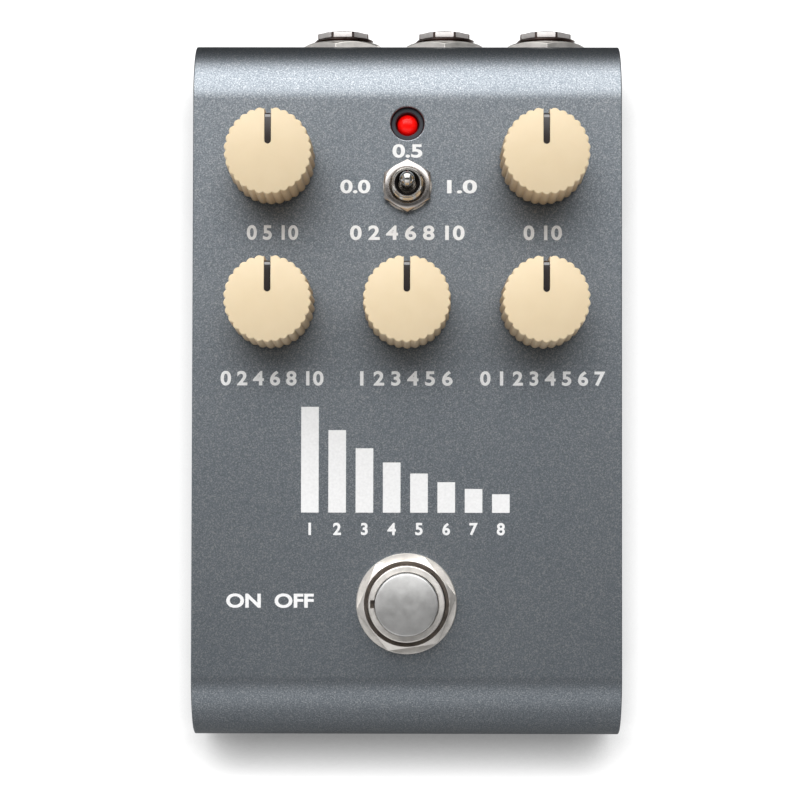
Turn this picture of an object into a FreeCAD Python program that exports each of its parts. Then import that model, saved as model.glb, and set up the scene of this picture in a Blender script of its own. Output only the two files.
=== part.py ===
import FreeCAD, Part
import os
import re
import Sketcher
from FreeCAD import Placement, Rotation, Vector

# A compact tape echo unit for the floor: a folded aluminium case with five knobs, a three-position
# toggle, a lamp and a footswitch on its top, and three quarter-inch jacks in its rear wall.
# Frame: +X to the player's right, +Y to the jack side, +Z up. The origin lies on the floor under the
# middle of the whole unit, jack noses included. All lengths are in millimetres.

DOC = FreeCAD.newDocument("tape_echo_unit")
SHEET = DOC.addObject("Spreadsheet::Sheet", "sizes")

SIZES = [
    ("case_width", 66.0, "case across X"),
    ("case_length", 107.5, "case from front wall to rear wall"),
    ("case_height", 28.0, "case from its underside to its top face"),
    ("gauge", 1.6, "aluminium sheet of the cover and the tray"),
    ("bend_radius", 9.5, "outside of the cover's two large bends"),
    ("edge_break", 0.2, "softened rim of the cover's sides"),
    ("seam_gap", 0.15, "between the cover and the tray"),
    ("side_inset", 0.2, "tray sides behind the cover's edges"),
    ("tray_bend", 2.0, "outside of the tray's bends"),
    ("foot_height", 1.5, "rubber feet"),
    ("foot_radius", 5.0, "rubber feet"),
    ("foot_taper", 0.3, "feet narrower at the floor"),
    ("foot_side", 4.0, "feet in from the case's sides"),
    ("foot_end", 12.75, "feet in from the case's ends"),
    ("tab_side", 0.7, "between a folded tab and the tray's side"),
    ("tab_width", 12.0, "tab along X"),
    ("tab_depth", 8.0, "tab inwards from its wall"),
    ("screw_radius", 1.5, "base screws"),
    ("screw_length", 4.6, "base screws with their head"),
    ("head_radius", 2.75, "countersunk head"),
    ("head_depth", 1.25, "countersunk head"),
    ("socket_flats", 2.0, "hexagon socket in each screw"),
    ("socket_depth", 0.9, "hexagon socket in each screw"),
    ("screw_gap", 0.2, "around a screw in the tray and tab"),
    ("clinch_radius", 2.8, "nuts pressed on the tabs"),
    ("clinch_height", 1.4, "nuts pressed on the tabs"),
    ("thread_gap", 0.05, "between a thread and its nut"),
    ("hole_gap", 0.1, "around a part that passes through the sheet"),
    ("running_gap", 0.05, "around a shaft or stem that moves"),
    ("board_gauge", 1.6, "circuit board"),
    ("board_margin", 0.7, "between the board and the case walls"),
    ("board_gap", 0.3, "around the footswitch in the board"),
    ("control_depth", 6.8, "from the top sheet down to the board"),
    ("chip_side", 14.0, "signal processor"),
    ("chip_height", 1.4, "chips"),
    ("codec_side", 7.0, "converter chip"),
    ("amplifier_width", 4.0, "small amplifier chips across X"),
    ("amplifier_length", 5.0, "small amplifier chips along Y"),
    ("chip_row", 7.0, "chips in front of the middle of the case"),
    ("processor_column", 14.0, "signal processor left of the middle line"),
    ("codec_column", 6.0, "converter chip right of the middle line"),
    ("amplifier_column", 15.0, "first amplifier right of the middle line"),
    ("amplifier_pitch", 6.0, "from amplifier to amplifier"),
    ("can_side", 14.0, "capacitors in from the case's sides"),
    ("can_pitch", 9.0, "from capacitor to capacitor"),
    ("can_radius", 3.15, "electrolytic capacitors"),
    ("can_height", 5.6, "electrolytic capacitors"),
    ("knob_side", 12.2, "outer knobs in from the case's sides"),
    ("knob_rear_row", 19.25, "upper pair of knobs in front of the rear wall's face"),
    ("knob_front_row", 41.35, "lower row of three knobs in front of the rear wall's face"),
    ("knob_base_radius", 6.7, "knob at its foot"),
    ("knob_top_radius", 6.43, "knob at its crown"),
    ("knob_lift", 1.6, "knob foot above the top face"),
    ("knob_height", 12.1, "knob"),
    ("knob_edge", 0.3, "rounding of the crown"),
    ("flute_depth", 0.27, "grooves down the knob"),
    ("flute_width", 0.7, "mouth of a groove's cutter"),
    ("flute_count", 30, "grooves around a knob"),
    ("skirt_bore", 5.5, "recess under the knob"),
    ("skirt_depth", 3.2, "recess under the knob"),
    ("bore_room", 0.2, "above a shaft's end in its knob"),
    ("push_gap", 0.03, "knob on its shaft, insert in its slot"),
    ("slot_width", 1.0, "pointer slot"),
    ("slot_start", 1.0, "inner end of the slot from the knob's axis"),
    ("slot_depth", 1.2, "pointer slot"),
    ("slot_rim", 0.7, "slot's depth down the side of the knob"),
    ("insert_sink", 0.06, "insert below the crown"),
    ("shaft_radius", 3.0, "control shafts"),
    ("shaft_reach", 10.8, "shaft above the top face"),
    ("slit_width", 1.0, "split end of a shaft"),
    ("slit_depth", 6.0, "split end of a shaft"),
    ("rotor_radius", 4.0, "disc on the shaft inside a control"),
    ("rotor_height", 1.6, "disc on the shaft inside a control"),
    ("rotor_gap", 0.3, "around the disc"),
    ("control_width", 9.5, "control body across X"),
    ("control_length", 11.0, "control body along Y"),
    ("plate_gauge", 0.8, "face plate of a control"),
    ("bushing_radius", 3.5, "threaded neck of a control"),
    ("bushing_reach", 3.6, "neck above the top face"),
    ("control_washer_radius", 5.2, "washer under a knob"),
    ("control_washer_gauge", 0.5, "washer under a knob"),
    ("control_nut_flats", 9.0, "nut under a knob"),
    ("control_nut_height", 2.0, "nut under a knob"),
    ("lamp_row", 13.25, "lamp in front of the rear wall's face"),
    ("lamp_hole", 2.55, "hole for the lamp"),
    ("holder_radius", 2.5, "black lamp holder"),
    ("holder_sink", 0.9, "holder below the top face"),
    ("holder_bore", 1.8, "lamp holder"),
    ("lamp_radius", 1.6, "lamp"),
    ("lamp_sink", 1.0, "crown of the lamp below the top face"),
    ("toggle_row", 23.0, "toggle in front of the rear wall's face"),
    ("toggle_body_length", 9.2, "toggle body along the throw"),
    ("toggle_body_width", 5.0, "toggle body across the throw"),
    ("toggle_radius", 2.4, "threaded neck of the toggle"),
    ("toggle_reach", 5.0, "neck above the top face"),
    ("toggle_bore", 1.65, "inside of the neck"),
    ("toggle_well", 2.0, "space for the lever's tail in the body"),
    ("toggle_well_depth", 4.0, "space for the lever's tail in the body"),
    ("mouth_flare", 0.25, "widened mouth of the neck"),
    ("pivot_rise", 1.5, "lever pivot above the top face"),
    ("lever_neck", 0.6, "lever at its pivot"),
    ("lever_tip", 1.15, "lever at its end"),
    ("lever_reach", 11.0, "lever above the top face"),
    ("tail_radius", 0.5, "lever below its pivot"),
    ("tail_length", 4.6, "lever below its pivot"),
    ("toggle_washer_radius", 3.75, "washer under the toggle nut"),
    ("toggle_washer_gauge", 0.5, "washer under the toggle nut"),
    ("toggle_nut_flats", 6.8, "toggle nut"),
    ("toggle_nut_height", 1.5, "toggle nut"),
    ("switch_row", 20.5, "footswitch behind the front wall's face"),
    ("switch_side", 16.0, "footswitch body"),
    ("switch_depth", 16.0, "footswitch body below the sheet"),
    ("well_radius", 4.8, "space inside the footswitch body"),
    ("well_depth", 13.0, "space inside the footswitch body"),
    ("collar_radius", 5.85, "threaded neck of the footswitch"),
    ("collar_reach", 5.2, "neck above the top face"),
    ("collar_bore", 5.2, "mouth of the neck"),
    ("collar_well", 3.5, "depth of the neck's mouth"),
    ("stem_radius", 4.15, "stem of the cap"),
    ("cap_radius", 4.95, "footswitch cap"),
    ("cap_reach", 10.0, "cap above the top face"),
    ("cap_bevel", 0.4, "rim of the cap"),
    ("cap_travel", 1.5, "stroke of the cap"),
    ("stop_gap", 0.3, "left below a part at the end of its stroke"),
    ("flange_radius", 4.5, "shoulder that keeps the stem in"),
    ("flange_height", 1.0, "shoulder that keeps the stem in"),
    ("shoulder_gap", 0.1, "between the shoulder and the neck at rest"),
    ("spring_gap", 0.05, "at each end of the return spring"),
    ("nub_radius", 1.5, "end of the stem that presses the contact"),
    ("spring_radius", 3.4, "return spring at its wire's middle"),
    ("wire_radius", 0.3, "return spring"),
    ("spring_turns", 5, "return spring"),
    ("contact_radius", 2.4, "contact under the stem"),
    ("contact_height", 3.0, "contact under the stem"),
    ("key_width", 0.5, "key slot in the neck's mouth, along the radius"),
    ("key_length", 0.8, "key slot, around the neck"),
    ("switch_washer_radius", 7.7, "washer under the footswitch nut"),
    ("switch_washer_gauge", 0.9, "washer under the footswitch nut"),
    ("switch_nut_flats", 13.3, "footswitch nut"),
    ("switch_nut_height", 2.4, "footswitch nut"),
    ("base_gap", 0.2, "jack bodies above the clinch nuts"),
    ("jack_side", 1.6, "between the right jack body and the tray's side"),
    ("jack_gap", 0.7, "from jack body to jack body"),
    ("jack_length", 26.0, "jack body along its axis"),
    ("jack_end_wall", 2.0, "closed end of a jack body"),
    ("cavity_radius", 3.6, "plug space in a jack body"),
    ("thread_radius", 4.75, "threaded sleeve of a jack"),
    ("thread_reach", 2.3, "thread beyond the rear wall"),
    ("sleeve_seat", 5.0, "sleeve inside the jack body"),
    ("plug_bore", 3.25, "bore of a sleeve"),
    ("nose_flats", 8.6, "eight-sided nose of a sleeve"),
    ("nose_reach", 3.3, "nose beyond the rear wall"),
    ("notch_width", 0.5, "notches in a nose"),
    ("notch_depth", 0.35, "notches in a nose"),
    ("jack_nut_flats", 12.0, "jack nuts"),
    ("jack_nut_height", 1.6, "jack nuts"),
    ("leaf_width", 3.0, "spring contact of a jack"),
    ("leaf_length", 17.0, "spring contact of a jack"),
    ("leaf_gauge", 0.4, "spring contact of a jack"),
    ("leaf_rise", 3.4, "contact above the jack's axis"),
    ("leaf_gap", 0.2, "around a contact in its groove"),
    ("power_side", 1.7, "between the power jack and the tray's side"),
    ("power_gap", 2.5, "between the power jack and the left jack body"),
    ("power_head", 0.24, "between the power jack and the data socket above it"),
    ("power_width", 9.0, "power jack body across X"),
    ("power_length", 14.0, "power jack body"),
    ("power_stalk", 6.2, "part of the body that reaches the board"),
    ("power_bore", 3.15, "plug space of the power jack"),
    ("power_depth", 9.5, "plug space of the power jack"),
    ("power_pin", 1.05, "centre pin"),
    ("power_pin_back", 0.8, "pin's tip behind the body's front"),
    ("power_pin_root", 2.0, "pin inside the body"),
    ("power_root_radius", 1.3, "pin inside the body"),
    ("usb_width", 8.94, "data socket shell"),
    ("usb_height", 3.26, "data socket shell"),
    ("usb_length", 7.35, "data socket shell"),
    ("usb_wall", 0.3, "data socket shell"),
    ("usb_back", 0.4, "shell's front behind the rear wall's face"),
    ("usb_gap", 0.2, "around the shell in the rear wall"),
    ("tongue_width", 6.7, "tongue of the data socket"),
    ("tongue_gauge", 0.7, "tongue of the data socket"),
    ("tongue_length", 6.2, "tongue of the data socket"),
    ("usb_root", 1.6, "block behind the tongue"),
]

SHEET.set("A1", "size")
SHEET.set("B1", "value")
SHEET.set("C1", "what it is")
for row, (alias, number, meaning) in enumerate(SIZES, start=2):
    SHEET.set(f"A{row}", alias)
    SHEET.set(f"B{row}", str(number))
    SHEET.setAlias(f"B{row}", alias)
    SHEET.set(f"C{row}", meaning)
DOC.recompute()

ALIASES = {alias for alias, number, meaning in SIZES}

JACKS = ("output", "expression", "input")            # from left to right, seen from above

# Levels and places that follow from the driving sizes, as formulas.
MIDDLE = "(-nose_reach / 2)"                         # Y of the middle of the case
FRONT_FACE = f"({MIDDLE} - case_length / 2)"
REAR_FACE = f"({MIDDLE} + case_length / 2)"
TOP = "(foot_height + case_height)"                  # Z of the top face
UNDERSIDE = f"({TOP} - gauge)"                       # Z under the top sheet
BOARD_TOP = f"({UNDERSIDE} - control_depth)"
BOARD_UNDER = f"({BOARD_TOP} - board_gauge)"
SWITCH_Y = f"({FRONT_FACE} + switch_row)"
TOGGLE_Y = f"({REAR_FACE} - toggle_row)"
LAMP_Y = f"({REAR_FACE} - lamp_row)"
INNER_SIDE = "(case_width / 2 - side_inset - gauge)"  # X of the tray's side, seen from inside
TAB_X = f"({INNER_SIDE} - tab_side - tab_width / 2)"
SCREW_ROW = "(case_length / 2 - gauge - tab_depth / 2)"  # screws from the middle of the case

# The jacks fill the room between the tabs' nuts and the board, and share the width that the power
# jack leaves. The power jack fills the height that the data socket leaves.
JACK_FLOOR = "(foot_height + 2 * gauge + clinch_height + base_gap)"
JACK_Z = f"(({JACK_FLOOR} + {BOARD_UNDER}) / 2)"
JACK_WIDTH = (f"((2 * {INNER_SIDE} - power_side - power_width - power_gap - 2 * jack_gap"
              f" - jack_side) / {len(JACKS)})")
POWER_X = f"(power_side + power_width / 2 - {INNER_SIDE})"
POWER_HEIGHT = f"({BOARD_UNDER} - usb_height - power_head - {JACK_FLOOR})"
POWER_Z = f"({JACK_FLOOR} + {POWER_HEIGHT} / 2)"
POWER_FRONT = f"({REAR_FACE} - gauge)"

# Each control's X, and how far it is in front of the rear wall's face.
KNOB_X = "(case_width / 2 - knob_side)"
CONTROLS = {
    "time": (f"-{KNOB_X}", "knob_rear_row"),
    "mix": (KNOB_X, "knob_rear_row"),
    "tape_age": (f"-{KNOB_X}", "knob_front_row"),
    "repeats": ("0", "knob_front_row"),
    "mechanics": (KNOB_X, "knob_front_row"),
}

TO_REAR = Rotation(Vector(1, 0, 0), -90)             # turns +Z into +Y

# The nuts were tightened by hand, so each one stopped at its own angle, in degrees.
TOGGLE_NUT_TURN = 30
SWITCH_NUT_TURN = 8.5
NOSE_TURN = 22.5                                     # a flat of each jack nose faces up
JACK_NUT_TURNS = (21, 30, 30)

LOOSE = 5.0                                          # where a sketch's corners lie before they are held


# ---- helpers -------------------------------------------------------------------------------------

def formula(text):
    """Write a formula's bare size names as cells of the sheet."""
    return re.sub(r"[a-z]\w*", lambda word: "sizes." + word.group() if word.group() in ALIASES
                  else word.group(), text)


def size(alias):
    """The present value of one driving size."""
    return float(SHEET.get(alias))


def bind(thing, **formulas):
    """Tie properties of an object to formulas of sizes."""
    for name, text in formulas.items():
        thing.setExpression(name, formula(text))
    return thing


def place(thing, x="0", y="0", z="0", turn=Rotation()):
    """Turn an object and put its origin at a place given by formulas."""
    thing.Placement = Placement(Vector(), turn)
    for axis, text in (("x", x), ("y", y), ("z", z)):
        if text != "0":
            thing.setExpression("Placement.Base." + axis, formula(text))
    return thing


def rod(name, radius, length, x="0", y="0", z="0", turn=Rotation()):
    """A cylinder that stands on its place, or lies along +Y when turned to the rear."""
    thing = bind(DOC.addObject("Part::Cylinder", name), Radius=radius, Height=length)
    return place(thing, x, y, z, turn)


def cone(name, low_radius, high_radius, length, x="0", y="0", z="0"):
    """A cone with a flat end of each radius."""
    thing = bind(DOC.addObject("Part::Cone", name), Radius1=low_radius, Radius2=high_radius,
                 Height=length)
    return place(thing, x, y, z)


def ball(name, radius, x="0", y="0", z="0"):
    """A whole sphere."""
    return place(bind(DOC.addObject("Part::Sphere", name), Radius=radius), x, y, z)


def block(name, across, along, height, x="0", y="0", z="0"):
    """A box centred on x and y that stands on z."""
    thing = bind(DOC.addObject("Part::Box", name), Length=across, Width=along, Height=height)
    return place(thing, f"({x}) - ({across}) / 2", f"({y}) - ({along}) / 2", z)


def prism(name, sides, flats, length, x="0", y="0", z="0", turn=Rotation()):
    """A bar with equal sides, measured from flat to flat."""
    thing = DOC.addObject("Part::Prism", name)
    thing.Polygon = sides
    bind(thing, Circumradius=f"({flats}) / (2 * cos({180.0 / sides} deg))", Height=length)
    return place(thing, x, y, z, turn)


def cut(name, base, *tools):
    """A solid with one or more others taken away."""
    for index, tool in enumerate(tools):
        last = index == len(tools) - 1
        result = DOC.addObject("Part::Cut", name if last else f"{name}_cut_{index}")
        result.Base = base
        result.Tool = tool
        base = result
    return base


def fuse(name, *pieces):
    """Several touching shapes as one solid."""
    result = DOC.addObject("Part::MultiFuse", name)
    result.Shapes = list(pieces)
    result.Refine = True
    return result


def common(name, base, tool):
    """What two solids share."""
    result = DOC.addObject("Part::Common", name)
    result.Base = base
    result.Tool = tool
    return result


def group(name, pieces):
    """Separate solids of one kind kept under one name."""
    result = DOC.addObject("Part::Compound", name)
    result.Links = list(pieces)
    return result


def ring(name, outer, inner, height, x="0", y="0", z="0", turn=Rotation()):
    """A washer or tube."""
    whole = rod(name + "_blank", outer, height)
    hole = rod(name + "_hole", inner, f"{height} + 2", z="-1")
    return place(cut(name, whole, hole), x, y, z, turn)


def nut(name, flats, height, bore, x="0", y="0", z="0", turn=Rotation()):
    """A hexagon nut whose upper corners are turned down to a cone."""
    bar = prism(name + "_bar", 6, flats, height)
    chamfer = cone(name + "_chamfer", f"0.49 * {flats} + 1.7 * {height}", f"0.49 * {flats}", height)
    hole = rod(name + "_hole", bore, f"{height} + 2", z="-1")
    return place(cut(name, common(name + "_head", bar, chamfer), hole), x, y, z, turn)


def plane_of(body, role):
    """One of a body's own origin planes."""
    return [plane for plane in body.Origin.OriginFeatures if plane.Role == role][0]


def new_sketch(body, name, role, lift="0"):
    """An empty sketch on an origin plane, lifted along that plane's normal."""
    sketch = body.newObject("Sketcher::SketchObject", name)
    sketch.AttachmentSupport = [(plane_of(body, role), "")]
    sketch.MapMode = "FlatFace"
    if lift != "0":
        sketch.setExpression("AttachmentOffset.Base.z", formula(lift))
    return sketch


def pin_point(sketch, edge, end, x, y):
    """Hold one point of a sketch at a place given by two formulas."""
    for kind, text, axis in (("DistanceX", x, -2), ("DistanceY", y, -1)):
        if text == "0":
            sketch.addConstraint(Sketcher.Constraint("PointOnObject", edge, end, axis))
        else:
            held = sketch.addConstraint(Sketcher.Constraint(kind, -1, 1, edge, end, 1.0))
            sketch.setExpression(f"Constraints[{held}]", formula(text))


def add_outline(sketch, corners):
    """A closed outline with straight sides through the given corners."""
    first = sketch.GeometryCount
    count = len(corners)
    loose = [Rotation(Vector(0, 0, 1), 360.0 * turn / count).multVec(Vector(LOOSE, 0, 0))
             for turn in range(count)]
    for index in range(count):
        sketch.addGeometry(Part.LineSegment(loose[index], loose[(index + 1) % count]))
    for index in range(count):
        following = first + (index + 1) % count
        sketch.addConstraint(Sketcher.Constraint("Coincident", first + index, 2, following, 1))
    for index, (x, y) in enumerate(corners):
        pin_point(sketch, first + index, 1, x, y)


def add_rectangle(sketch, x_low, x_high, y_low, y_high):
    """A closed rectangle between four formulas."""
    add_outline(sketch, [(x_low, y_low), (x_high, y_low), (x_high, y_high), (x_low, y_high)])


def add_circle(sketch, x, y, radius):
    """A circle about a point given by formulas."""
    edge = sketch.addGeometry(Part.Circle(Vector(1, 1, 0), Vector(0, 0, 1), 1))
    pin_point(sketch, edge, 3, x, y)
    held = sketch.addConstraint(Sketcher.Constraint("Radius", edge, 1.0))
    sketch.setExpression(f"Constraints[{held}]", formula(radius))


def pad(body, name, sketch, length, symmetric=False):
    """Thicken a sketch into the body."""
    feature = body.newObject("PartDesign::Pad", name)
    feature.Profile = sketch
    feature.SideType = "Symmetric" if symmetric else "One side"
    bind(feature, Length=length)
    DOC.recompute()
    return feature


def pocket(body, name, sketch, length, forward=False):
    """Cut a sketch out of the body, against the sketch's normal, or along it when forward."""
    before = body.Shape.Volume
    feature = body.newObject("PartDesign::Pocket", name)
    feature.Profile = sketch
    feature.Reversed = forward
    bind(feature, Length=length)
    DOC.recompute()
    if body.Shape.Volume > before - 1e-3:
        raise RuntimeError(f"{name} cuts nothing from {body.Label}")
    return feature


def revolve(body, name, sketch, axis="V_Axis"):
    """Turn a sketch once around one of its own axes."""
    feature = body.newObject("PartDesign::Revolution", name)
    feature.Profile = sketch
    feature.ReferenceAxis = (sketch, [axis])
    feature.Angle = 360
    DOC.recompute()
    return feature


def edges_where(feature, test):
    """Names of a feature's edges that pass a test of their middle and direction."""
    found = []
    for number, edge in enumerate(feature.Shape.Edges, start=1):
        middle = edge.valueAt((edge.FirstParameter + edge.LastParameter) / 2)
        direction = edge.tangentAt(edge.FirstParameter)
        if test(middle, direction):
            found.append(f"Edge{number}")
    return found


def round_edges(body, name, feature, edges, radius):
    """Round some edges of the latest feature."""
    dressed = body.newObject("PartDesign::Fillet", name)
    dressed.Base = (feature, edges)
    bind(dressed, Radius=radius)
    DOC.recompute()
    return dressed


def around(feature, name, sketch, count):
    """Repeat a cut around the sketch's normal."""
    body = feature.getParentGeoFeatureGroup()
    pattern = body.newObject("PartDesign::PolarPattern", name)
    pattern.Originals = [feature]
    pattern.Axis = (sketch, ["N_Axis"])
    pattern.Angle = 360
    bind(pattern, Occurrences=count)
    body.Tip = pattern
    DOC.recompute()
    return pattern


def near(number, target):
    """Whether two lengths agree."""
    return abs(number - target) < 0.01


# ---- case ----------------------------------------------------------------------------------------

def top_cover():
    """Front wall, top and rear wall folded from one sheet, with its tabs and all its holes."""
    body = DOC.addObject("PartDesign::Body", "top_cover")
    place(body, y=MIDDLE, z="foot_height")
    end = "case_length / 2"
    inner_end = "(case_length / 2 - gauge)"
    profile = new_sketch(body, "cover_profile", "YZ_Plane")
    add_outline(profile, [(f"-{end}", "0"), (f"-{end}", "case_height"), (end, "case_height"),
                          (end, "0"), (inner_end, "0"), (inner_end, "case_height - gauge"),
                          (f"-{inner_end}", "case_height - gauge"), (f"-{inner_end}", "0")])
    folded = pad(body, "cover_sheet", profile, "case_width", symmetric=True)

    half = size("case_length") / 2
    height = size("case_height")
    gauge = size("gauge")
    outer = edges_where(folded, lambda at, to: near(abs(at.y), half) and near(at.z, height)
                        and near(abs(to.x), 1))
    bent = round_edges(body, "outer_bends", folded, outer, "bend_radius")
    inner = edges_where(bent, lambda at, to: near(abs(at.y), half - gauge)
                        and near(at.z, height - gauge) and near(abs(to.x), 1))
    bent = round_edges(body, "inner_bends", bent, inner, "bend_radius - gauge")
    side = size("case_width") / 2
    rims = edges_where(bent, lambda at, to: near(abs(at.x), side) and at.z > 0.01
                       and (near(abs(at.y), half) or near(at.z, height)
                            or at.z > height - size("bend_radius") * 0.9
                            and outside_bend(at, half, height)))
    round_edges(body, "soft_rims", bent, rims, "edge_break")

    tabs = new_sketch(body, "tab_outlines", "XY_Plane", "gauge")
    for left in (f"-({TAB_X} + tab_width / 2)", f"({TAB_X} - tab_width / 2)"):
        right = f"({left} + tab_width)"
        add_rectangle(tabs, left, right, f"{inner_end} - tab_depth", inner_end)
        add_rectangle(tabs, left, right, f"-{inner_end}", f"tab_depth - {inner_end}")
    pad(body, "tabs", tabs, "gauge")
    tab_holes = new_sketch(body, "tab_hole_circles", "XY_Plane")
    for x in (TAB_X, f"-{TAB_X}"):
        for y in (SCREW_ROW, f"-{SCREW_ROW}"):
            add_circle(tab_holes, x, y, "screw_radius + screw_gap")
    pocket(body, "tab_holes", tab_holes, "3 * gauge", forward=True)

    panel_holes = new_sketch(body, "panel_hole_circles", "XY_Plane", "case_height / 2")
    for x, row in CONTROLS.values():
        add_circle(panel_holes, x, f"{end} - {row}", "bushing_radius + hole_gap")
    add_circle(panel_holes, "0", f"{end} - lamp_row", "lamp_hole")
    add_circle(panel_holes, "0", f"{end} - toggle_row", "toggle_radius + hole_gap")
    add_circle(panel_holes, "0", f"switch_row - {end}", "collar_radius + hole_gap")
    pocket(body, "panel_holes", panel_holes, "case_height", forward=True)

    rear_holes = new_sketch(body, "rear_hole_circles", "XZ_Plane")
    for jack in JACKS:
        add_circle(rear_holes, jack_x(jack), f"{JACK_Z} - foot_height", "thread_radius + hole_gap")
    add_circle(rear_holes, POWER_X, f"{POWER_Z} - foot_height", "power_bore + hole_gap")
    pocket(body, "rear_holes", rear_holes, "case_length")
    usb_slot(body)
    return body


def outside_bend(at, half, height):
    """Whether a point of a bend's edge lies on the outer curve of the sheet."""
    radius = size("bend_radius")
    across = abs(at.y) - (half - radius)
    up = at.z - (height - radius)
    return across > 0 and up > 0 and near((across ** 2 + up ** 2) ** 0.5, radius)


def usb_slot(body):
    """The round-ended slot for the data socket in the rear wall."""
    level = f"({BOARD_UNDER} - foot_height - usb_height / 2)"
    wide = "(usb_width / 2 + usb_gap)"
    high = "(usb_height / 2 + usb_gap)"
    outline = new_sketch(body, "usb_outline", "XZ_Plane")
    add_rectangle(outline, f"{POWER_X} - {wide}", f"{POWER_X} + {wide}",
                  f"{level} - {high}", f"{level} + {high}")
    slot = pocket(body, "usb_slot", outline, "case_length")
    board = size("case_height") - size("gauge") - size("control_depth") - size("board_gauge")
    inner = size("case_length") / 2 - size("gauge")
    corners = edges_where(slot, lambda at, to: near(abs(to.y), 1) and at.y > inner
                          and (near(at.z, board + size("usb_gap"))
                               or near(at.z, board - size("usb_height") - size("usb_gap"))))
    round_edges(body, "usb_slot_ends", slot, corners, f"{high} - 0.02")


def base_tray():
    """Floor and side walls folded from one sheet, let in between the cover's walls."""
    body = DOC.addObject("PartDesign::Body", "base_tray")
    place(body, y=MIDDLE, z="foot_height")
    wall = "(case_width / 2 - side_inset)"
    inner = INNER_SIDE
    rim = "(case_height - gauge - seam_gap)"
    length = "(case_length - 2 * gauge - 2 * seam_gap)"
    profile = new_sketch(body, "tray_profile", "XZ_Plane")
    add_outline(profile, [(f"-{wall}", "0"), (wall, "0"), (wall, rim), (inner, rim),
                          (inner, "gauge"), (f"-{inner}", "gauge"), (f"-{inner}", rim),
                          (f"-{wall}", rim)])
    folded = pad(body, "tray_sheet", profile, length, symmetric=True)

    outside = size("case_width") / 2 - size("side_inset")
    gauge = size("gauge")
    outer = edges_where(folded, lambda at, to: near(abs(at.x), outside) and near(at.z, 0)
                        and near(abs(to.y), 1))
    bent = round_edges(body, "tray_bends", folded, outer, "tray_bend")
    hollow = edges_where(bent, lambda at, to: near(abs(at.x), outside - gauge)
                         and near(at.z, gauge) and near(abs(to.y), 1))
    bent = round_edges(body, "tray_inner_bends", bent, hollow, "tray_bend - gauge")
    top = size("case_height") - gauge - size("seam_gap")
    corners = edges_where(bent, lambda at, to: near(at.z, top) and near(abs(to.x), 1))
    round_edges(body, "wall_corners", bent, corners, "bend_radius - gauge - seam_gap")

    spots = new_sketch(body, "tray_screw_circles", "XY_Plane")
    for x in (TAB_X, f"-{TAB_X}"):
        for y in (SCREW_ROW, f"-{SCREW_ROW}"):
            add_circle(spots, x, y, "screw_radius + screw_gap")
    DOC.recompute()
    before = body.Shape.Volume
    holes = body.newObject("PartDesign::Hole", "tray_screw_holes")
    holes.Profile = spots
    DOC.recompute()
    holes.Reversed = True
    holes.DepthType = "Dimension"
    holes.HoleCutType = "Countersink"
    holes.HoleCutCountersinkAngle = 90
    bind(holes, Diameter="2 * (screw_radius + screw_gap)", Depth="2 * gauge",
         HoleCutDiameter="2 * (head_radius + screw_gap)")
    DOC.recompute()
    if body.Shape.Volume > before - 1e-3:
        raise RuntimeError("the tray has no screw holes")
    return body


def screw_places():
    """The four screw places, as formulas of X and Y, with a number for each."""
    places = []
    for x in (f"-{TAB_X}", TAB_X):
        for y in (f"{MIDDLE} - {SCREW_ROW}", f"{MIDDLE} + {SCREW_ROW}"):
            places.append((len(places) + 1, x, y))
    return places


def base_screws():
    """Countersunk screws that hold the tray to the cover's tabs."""
    screws = []
    for number, x, y in screw_places():
        name = f"base_screw_{number}"
        head = cone(name + "_head", "head_radius", "screw_radius", "head_depth")
        stem = rod(name + "_stem", "screw_radius", "screw_length")
        socket = prism(name + "_socket", 6, "socket_flats", "socket_depth")
        screw = cut(name, fuse(name + "_blank", head, stem), socket)
        screws.append(place(screw, x, y, "foot_height"))
    return group("base_screws", screws)


def clinch_nuts():
    """Threaded rings pressed on the upper side of the tabs."""
    return group("clinch_nuts", [
        ring(f"clinch_nut_{number}", "clinch_radius", "screw_radius + thread_gap", "clinch_height",
             x, y, "foot_height + 2 * gauge") for number, x, y in screw_places()])


def rubber_feet():
    """Four round feet stuck under the tray."""
    feet = []
    column = "(case_width / 2 - foot_side - foot_radius)"
    for x in (f"-{column}", column):
        for y in (f"{FRONT_FACE} + foot_end + foot_radius", f"{REAR_FACE} - foot_end - foot_radius"):
            feet.append(cone(f"foot_{len(feet) + 1}", "foot_radius - foot_taper", "foot_radius",
                             "foot_height", x, y))
    return group("rubber_feet", feet)


# ---- circuit board -------------------------------------------------------------------------------

def main_board():
    """The board that carries every control and jack, with a window for the footswitch."""
    sheet = block("board_blank", "case_width - 2 * (side_inset + gauge + board_margin)",
                  "case_length - 2 * (gauge + board_margin)", "board_gauge", y=MIDDLE, z=BOARD_UNDER)
    window = block("board_window", "switch_side + 2 * board_gap", "switch_side + 2 * board_gap",
                   "board_gauge + 2", y=SWITCH_Y, z=f"{BOARD_UNDER} - 1")
    return cut("main_board", sheet, window)


def board_chips():
    """The signal processor, the converter and two small amplifiers on the board's upper side."""
    row = f"({MIDDLE} - chip_row)"
    return group("board_chips", [
        block("processor_chip", "chip_side", "chip_side", "chip_height", "-processor_column", row,
              BOARD_TOP),
        block("codec_chip", "codec_side", "codec_side", "chip_height", "codec_column", row, BOARD_TOP),
        block("left_amplifier_chip", "amplifier_width", "amplifier_length", "chip_height",
              "amplifier_column", row, BOARD_TOP),
        block("right_amplifier_chip", "amplifier_width", "amplifier_length", "chip_height",
              "amplifier_column + amplifier_pitch", row, BOARD_TOP)])


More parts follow.
